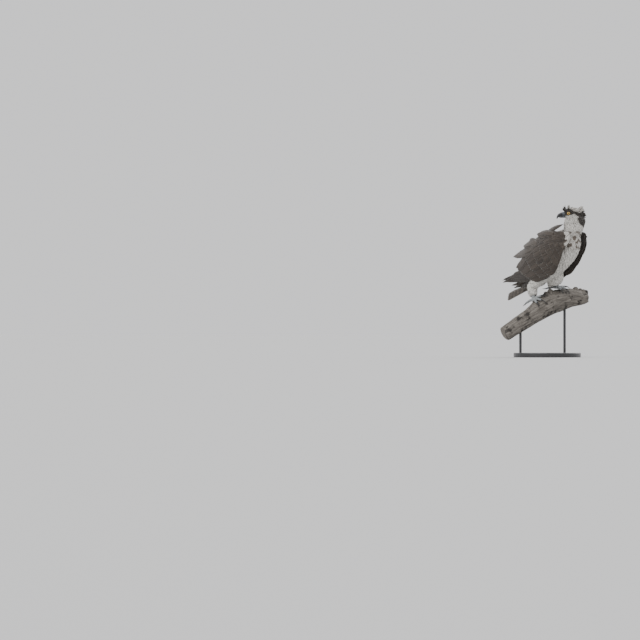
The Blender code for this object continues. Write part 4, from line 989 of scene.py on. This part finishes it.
for name, above, tint in (("tail_coverts_above", 1, BROWN_VANE * 1.2), ("tail_coverts_below", -1, WHITE_VANE)):
    count = 34
    f = np.linspace(-1, 1, count) + draw.normal(0, 0.03, count)
    order = draw.permutation(count) / count
    length = (86 if above > 0 else 74) - 22 * np.abs(f) + draw.uniform(-9, 9, count) - 26 * (order > 0.55)
    s = 1 - (1 - np.linspace(0, 1, 8)) ** 1.4
    start = -14 + 14 * order
    place = start[:, None, None] + length[:, None, None] * s[:, None] * np.ones(5)
    lateral = (f * 22)[:, None, None] + (f * 15)[:, None, None] * s[:, None]
    lateral = lateral + np.linspace(-1, 1, 5) * (9.5 * feather_width(s, 0.45))[:, None]
    place = place + draw.normal(0, 1.0, place.shape) * s[:, None] ** 5
    height = (15 - 9 * s) * np.sqrt(np.maximum(1 - (f[:, None] * 0.92) ** 2, 0.05)) - 1.5 * np.abs(f)[:, None]
    height = height + 2.2 * order[:, None] + 3 * s**2
    height = height[:, :, None] - 0.4 * np.linspace(-1, 1, 5) ** 2
    if above < 0:
        height = -height - 6.0
    def laid(lift):
        return from_bird(TAIL_ROOT + (tail_along * place[..., None] + tail_aside * lateral[..., None]
                                      + tail_up * lift[..., None]) * MM)
    top, under = laid(height), laid(height - 0.4 * above)
    if (above > 0) == (lateral_first < 0):
        top, under = top[:, :, ::-1], under[:, :, ::-1]
    tones = np.broadcast_to((tint * draw.normal(1, 0.07, (count, 1)))[:, None, None], (*top.shape[:3], 3))
    sizes = np.stack((length, np.full(count, 19.0), order), axis=1)
    marks = np.tile((0.0, 0.4 if above > 0 else 0.0, 0.0), (count, 1))
    patches = np.stack((0.45 + 0.05 * f, 0.02 + 0.02 * order + (0.04 if above > 0 else 0.0)), axis=1)
    mesh = vane_mesh(name, top, under, tones, patches, sizes, marks)
    link_piece(name, mesh, feather_finish, "dark_feathers" if above > 0 else "white_feathers")

# The bare legs and feet: stout toes with pale blue-grey skin in small raised scales, and long
# round black claws.
leg_finish, tree, shader = new_finish("scaled_skin", Roughness=0.55, Specular_IOR_Level=0.4)
place = add_node(tree, "TexCoord").outputs["Object"]
scales = add_node(tree, "TexVoronoi", {"Vector": place, "Scale": 430}, feature="DISTANCE_TO_EDGE")
tint = add_node(tree, "TexNoise", {"Vector": place, "Scale": 60, "Detail": 4})
groove = add_node(tree, "MapRange", {"Value": scales.outputs["Distance"], "From Max": 0.16})
colour = add_node(tree, "Mix", {"Factor": tint.outputs["Fac"], "A": (0.29, 0.31, 0.32, 1),
                                "B": (0.42, 0.44, 0.44, 1)}, data_type="RGBA")
colour = add_node(tree, "Mix", {"Factor": groove.outputs["Result"], "A": (0.14, 0.14, 0.14, 1),
                                "B": colour.outputs[2]}, data_type="RGBA")
tree.links.new(colour.outputs[2], shader.inputs["Base Color"])
relief = add_node(tree, "Bump", {"Height": groove.outputs["Result"], "Strength": 0.8, "Distance": 0.0005})
tree.links.new(relief.outputs["Normal"], shader.inputs["Normal"])
claw_finish, tree, shader = new_finish("claw_horn", Base_Color=(0.018, 0.017, 0.017, 1), Roughness=0.3,
                                       Coat_Weight=0.3)
place = add_node(tree, "TexCoord").outputs["Object"]
wear = add_node(tree, "TexNoise", {"Vector": place, "Scale": 700, "Detail": 4})
rough = add_node(tree, "MapRange", {"Value": wear.outputs["Fac"], "To Min": 0.22, "To Max": 0.42})
tree.links.new(rough.outputs["Result"], shader.inputs["Roughness"])
for side in ("left", "right"):
    leg = ["shank_" + side, "foot_" + side]
    mesh = shaped(copy_of_nodes(*leg), "bare_leg_" + side, [
        ("REMESH", {"mode": "VOXEL", "voxel_size": 0.9 * MM}), ("SMOOTH", {"iterations": 6, "factor": 0.5})])
    mesh.shade_smooth()
    link_piece("bare_leg_" + side, mesh, leg_finish, "scaled_skin", leg)
    for k in range(1, 5):
        node = "claw_%s_%d" % (side, k)
        mesh = shaped(copy_of_nodes(node), "horn_" + node, [
            ("REMESH", {"mode": "VOXEL", "voxel_size": 0.5 * MM}), ("SMOOTH", {"iterations": 4, "factor": 0.5})])
        mesh.shade_smooth()
        link_piece("horn_" + node, mesh, claw_finish, "horn", [node])

# The head's details: a short deep black bill that ends in a long hook, with a blue-grey cere and
# slit nostrils, large yellow eyes in dark lids under a feathered brow, and the crest.
BILL_UPPER = np.array((
    (29, 3, 8.2, 7.6), (35.3, 3, 8.6, 8), (44, 2.7, 7.6, 7), (53, 0.1, 6.2, 6.2), (60.5, -5.2, 5, 5.4),
    (65.5, -12.6, 3.4, 3.7), (67.5, -20, 1.1, 1.4)))
BILL_LOWER = np.array(((29, -8.8, 7.4, 5.8), (35.3, -9.1, 7.6, 6.0), (44, -9.0, 6.4, 6.0),
                       (53, -9.8, 4.7, 5.1), (59, -12.6, 1.6, 1.8)))
GAPE = np.array(((38, 10, -5.2), (28, 16.4, -6.2), (20, 20.4, -8.5)))
NOSTRIL_AT = np.array((41.5, 6.9, 5.6))
EYE_AXIS = np.array((0.26, 1, -0.02))
# Crest rows: place along the head, spread to each side in degrees, tufts, length, lift in degrees
CREST = ((29, 38, 3, 30, 118), (13, 26, 3, 17, 96), (8, 44, 3, 17, 26), (-12, 54, 4, 24, 14),
         (-30, 58, 4, 34, 48), (-44, 116, 5, 27, 40))
bill_finish, tree, shader = new_finish("bill_horn", Coat_Weight=0.25)
tone = add_node(tree, "Attribute", attribute_name="tone").outputs["Color"]
place = add_node(tree, "TexCoord").outputs["Object"]
wear = add_node(tree, "TexNoise", {"Vector": place, "Scale": 520, "Detail": 5})
shade = add_node(tree, "MapRange", {"Value": wear.outputs["Fac"], "To Min": 0.7, "To Max": 1.3})
colour = add_node(tree, "Mix", {"Factor": 1.0, "A": tone, "B": shade.outputs["Result"]}, data_type="RGBA",
                  blend_type="MULTIPLY")
tree.links.new(colour.outputs[2], shader.inputs["Base Color"])
rough = add_node(tree, "MapRange", {"Value": wear.outputs["Fac"], "To Min": 0.28, "To Max": 0.5})
tree.links.new(rough.outputs["Result"], shader.inputs["Roughness"])
relief = add_node(tree, "Bump", {"Height": wear.outputs["Fac"], "Strength": 0.25, "Distance": 0.0003})
tree.links.new(relief.outputs["Normal"], shader.inputs["Normal"])
for name, table in (("bill_upper", BILL_UPPER), ("bill_lower", BILL_LOWER)):
    bm = bmesh.new()
    rows = smooth_rows(table, np.linspace(0, 1, 44))
    line = np.stack((rows[:, 0], 0 * rows[:, 0], rows[:, 1]), axis=1)
    ahead = unit(np.gradient(line, axis=0))
    rings = []
    for centre, way, (_, _, width, height) in zip(line, ahead, rows):
        up = np.cross(way, (0, 1, 0)) * -1
        rings.append((from_head(centre * MM), turned(np.array((0, width, 0)) * MM, body_axis_yaw),
                      turned(up * height * MM, body_axis_yaw)))
    add_form(bm, rings, 40)
    bmesh.ops.recalc_face_normals(bm, faces=bm.faces)
    mesh = shaped(bm, "render_" + name, [("SUBSURF", {"levels": 1, "render_levels": 1})])
    head = to_head(points_of(mesh)) / MM
    out = normals_of(mesh)
    push = np.zeros(len(head))
    for side in (1, -1):
        away = head - NOSTRIL_AT * (1, side, 1)
        slit = (away[:, 0] * 0.75 + away[:, 2] * 0.66, -away[:, 0] * 0.66 + away[:, 2] * 0.75, away[:, 1])
        if name == "bill_upper":
            push += 1.7 * np.exp(-(slit[0] / 1.9) ** 2 - (slit[1] / 0.8) ** 2 - (slit[2] / 3) ** 2)
    # The cere stands a little above the horn
    cere = soft_step(45.5, 43.5, head[:, 0] - 0.25 * head[:, 2])
    if name == "bill_upper":
        push -= 0.35 * cere
    points = points_of(mesh) - out * (push * MM)[:, None]
    mesh.vertices.foreach_set("co", points.ravel())
    mesh.shade_smooth()
    blue, black = np.array((0.085, 0.098, 0.112)), np.array((0.016, 0.016, 0.018))
    tones = black + (blue - black) * (cere * (1 if name == "bill_upper" else 0.8))[:, None]
    # The nostril slits are painted almost black: painted shade for the inside of their shallow hollows
    tones = tones * (1 - 0.92 * np.clip(push / 1.2, 0, 1))[:, None]
    give_colours(mesh, "tone", tones)
    link_piece("render_" + name, mesh, bill_finish, "horn", [name])

lid_finish, tree, shader = new_finish("lid_skin", Base_Color=(0.035, 0.034, 0.036, 1), Roughness=0.5)
place = add_node(tree, "TexCoord").outputs["Object"]
folds = add_node(tree, "TexNoise", {"Vector": place, "Scale": 1500, "Detail": 3})
relief = add_node(tree, "Bump", {"Height": folds.outputs["Fac"], "Strength": 0.5, "Distance": 0.0003})
tree.links.new(relief.outputs["Normal"], shader.inputs["Normal"])
rough = add_node(tree, "MapRange", {"Value": folds.outputs["Fac"], "To Min": 0.4, "To Max": 0.6})
tree.links.new(rough.outputs["Result"], shader.inputs["Roughness"])
eye_finish, tree, shader = new_finish("eye_wet", Roughness=0.12, Coat_Weight=1.0, Coat_Roughness=0.03)
tone = add_node(tree, "Attribute", attribute_name="tone").outputs["Color"]
threads = add_node(tree, "TexNoise", {"Vector": add_node(tree, "TexCoord").outputs["Object"],
                                      "Scale": 1800, "Detail": 3})
shade = add_node(tree, "MapRange", {"Value": threads.outputs["Fac"], "To Min": 0.8, "To Max": 1.15})
colour = add_node(tree, "Mix", {"Factor": 1.0, "A": tone, "B": shade.outputs["Result"]}, data_type="RGBA",
                  blend_type="MULTIPLY")
tree.links.new(colour.outputs[2], shader.inputs["Base Color"])
for name, side in (("left", 1), ("right", -1)):
    axis = unit(turned(EYE_AXIS * (1, side, 1), body_axis_yaw))
    centre = from_head(EYE_AT * (1, side, 1) * MM)
    upright = unit(np.cross(axis, np.cross((0, 0, 1), axis)))
    level = np.cross(upright, axis)
    matrix = Matrix([[*row, 0] for row in np.column_stack((level, upright, axis))] + [[0, 0, 0, 1]])
    matrix.translation = Vector(centre)
    bm = bmesh.new()
    bmesh.ops.create_uvsphere(bm, u_segments=64, v_segments=72, radius=(EYE_RADIUS - 0.1) * MM, matrix=matrix)
    mesh = shaped(bm, "render_eye_" + name, [])
    mesh.shade_smooth()
    angle = np.degrees(np.arccos(np.clip(unit(points_of(mesh) - centre) @ axis, -1, 1)))
    pupil = soft_step(26, 23.5, angle)[:, None]
    rim = soft_step(42, 47, angle)[:, None]
    inner = soft_step(38, 25, angle)[:, None]
    iris = np.array((0.80, 0.50, 0.045)) * (1 - inner) + np.array((0.72, 0.34, 0.02)) * inner
    iris = iris * (1 - rim) + np.array((0.02, 0.015, 0.012)) * rim
    give_colours(mesh, "tone", iris * (1 - pupil) + np.array((0.003, 0.003, 0.003)) * pupil)
    link_piece("render_eye_" + name, mesh, eye_finish, "eye", ["eye_" + name])
    # The lids: a firm dark rim round the eye, drawn down a little over its upper part
    bm = bmesh.new()
    turn = np.linspace(0, 2 * math.pi, 61)[:-1]
    lid_radius = EYE_RADIUS * 0.80
    steps = []
    for t in turn:
        over = 0.5 + 0.5 * math.sin(t)
        radial = level * math.cos(t) * 1.04 + upright * math.sin(t) * (0.95 - 0.10 * over)
        steps.append((centre + (radial * lid_radius + axis * EYE_RADIUS * (0.62 + 0.05 * over)) * MM,
                      unit(radial), 0.8 + 0.35 * over))
    loops = []
    for at, radial, thick in steps:
        tangent = unit(np.cross(axis, radial))
        matrix = Matrix([[*row, 0] for row in np.column_stack((radial, axis, tangent))] + [[0, 0, 0, 1]])
        matrix = Matrix.Translation(at) @ matrix
        ring = bmesh.ops.create_circle(bm, segments=12, radius=thick * MM, matrix=matrix)
        loops.append(ring["verts"])
    for low, high in zip(loops, loops[1:] + loops[:1]):
        ring_edges = [e for ring in (low, high) for v in ring for e in v.link_edges
                      if e.other_vert(v) in ring]
        bmesh.ops.bridge_loops(bm, edges=list(set(ring_edges)))
    bmesh.ops.recalc_face_normals(bm, faces=bm.faces)
    mesh = shaped(bm, "lid_" + name, [])
    mesh.shade_smooth()
    link_piece("lid_" + name, mesh, lid_finish, "horn")
    # The fleshy corner of the mouth, from the bill back to below the eye
    bm = bmesh.new()
    line = [from_head(p * (1, side, 1) * MM) for p in smooth_rows(GAPE, np.linspace(0, 1, 14))]
    line = [np.array(skin_tree.find_nearest(p)[0]) + 0.8 * MM * np.array(skin_tree.find_nearest(p)[1])
            if k > 3 else p for k, p in enumerate(line)]
    ahead = unit(np.gradient(np.array(line), axis=0))
    rings = [(p, unit(np.cross(way, (0, 0, 1))) * 1.3 * MM * size,
              np.cross(unit(np.cross(way, (0, 0, 1))), way) * 1.1 * MM * size)
             for p, way, size in zip(line, ahead, np.linspace(1.2, 0.35, 14))]
    add_form(bm, rings, 12)
    bmesh.ops.recalc_face_normals(bm, faces=bm.faces)
    mesh = shaped(bm, "gape_" + name, [])
    mesh.shade_smooth()
    link_piece("gape_" + name, mesh, lid_finish, "horn")


def skull_place(x, angle, off=0.0):
    """A point of the head's surface: x along the head, angle from the crown to its left."""
    rows = HEAD_ROWS[::-1]
    centre, width, height = (np.interp(x, rows[:, 0], rows[:, k]) for k in (1, 2, 3))
    return np.array((x, (width + off) * math.sin(angle), centre + (height + off) * math.cos(angle))) * MM


roots, ways, outs, lengths, widths, twists = [], [], [], [], [], []
for x, spread, count, length, lift in CREST:
    finer = count * 4 - 1
    for k in range(finer):
        for row in range(2):
            angle = math.radians(spread * 1.05 * (2 * k / (finer - 1) - 1) + draw.uniform(-4, 4))
            at = x + draw.uniform(-3.5, 3.5)
            out = unit(skull_place(at, angle, 1) - skull_place(at, angle))
            back = unit(skull_place(at - 4, angle) - skull_place(at, angle))
            rise = math.radians(lift + draw.uniform(-12, 12) - 14 * row)
            roots.append(skull_place(at, angle, -HEAD_COAT - 0.4))
            ways.append(back * math.cos(rise) + out * math.sin(rise))
            outs.append(out)
            lengths.append(length * draw.uniform(0.62, 1.06) * (1 - 0.12 * row))
            widths.append(draw.uniform(5, 7.5))
            twists.append(draw.uniform(-1.3, 1.3) * math.sin(rise))
for side in (1, -1):
    for t in np.linspace(0, 1, 15):
        # The brow: stiff short feathers that overhang the eye
        at = np.array((28 - 24 * t, 17.5 + 3.2 * math.sin(math.pi * t) ** 0.7, 12.5 + 2.2 * math.sin(math.pi * t)))
        roots.append((at - (0, 2.2, 0)) * (1, side, 1) * MM)
        ways.append(unit(np.array((-0.85, 0.42 * side, -0.22))))
        outs.append(unit(np.array((-0.2, 0.5 * side, 0.85))))
        lengths.append(draw.uniform(7.5, 9.5))
        widths.append(3.4)
        twists.append(0)
roots, outs = np.array(roots), np.array(outs)
lengths, widths = np.array(lengths) * np.linalg.norm(ways, axis=1), np.array(widths)
ways = unit(np.array(ways))
side_on = unit(np.cross(ways, outs))
twists = np.array(twists)[:, None]
side_on = side_on * np.cos(twists) + np.cross(side_on, ways) * np.sin(twists)
face = np.cross(side_on, ways)
s, u = np.array((0, 0.3, 0.55, 0.78, 0.92, 1)), np.linspace(-1, 1, 5)
half = feather_width(s, 0.6) * widths[:, None] / 2 * (1 - 0.2 * s)
curl = -0.09 * s**2 * lengths[:, None]
frayed = s[None, :, None] + draw.normal(0, 0.03, (len(roots), 6, 5)) * s[:, None] ** 4
top = (roots[:, None, None] + (ways[:, None, None] * (frayed * lengths[:, None, None])[..., None]
       + side_on[:, None, None] * (u * half[..., None])[..., None]
       + face[:, None, None] * (curl[..., None] - 0.16 * u**2 * half[..., None])[..., None]) * MM)
under = top - face[:, None, None] * 0.3 * MM
top, under = from_head(top), from_head(under)
colour, _ = markings(top[:, 1, 2])
colour = colour * draw.normal(1, 0.08, (len(roots), 1)).clip(0.8, 1.2)
tones = np.broadcast_to(colour[:, None, None], (*top.shape[:3], 3))
sizes = np.stack((lengths, widths, draw.uniform(0, 1, len(roots))), axis=1)
mesh = vane_mesh("crest", top, under, tones, axis_on_unwrap(top[:, 0, 2]), sizes, np.zeros((len(roots), 3)))
link_piece("crest", mesh, feather_finish, "white_feathers")

low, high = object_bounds()
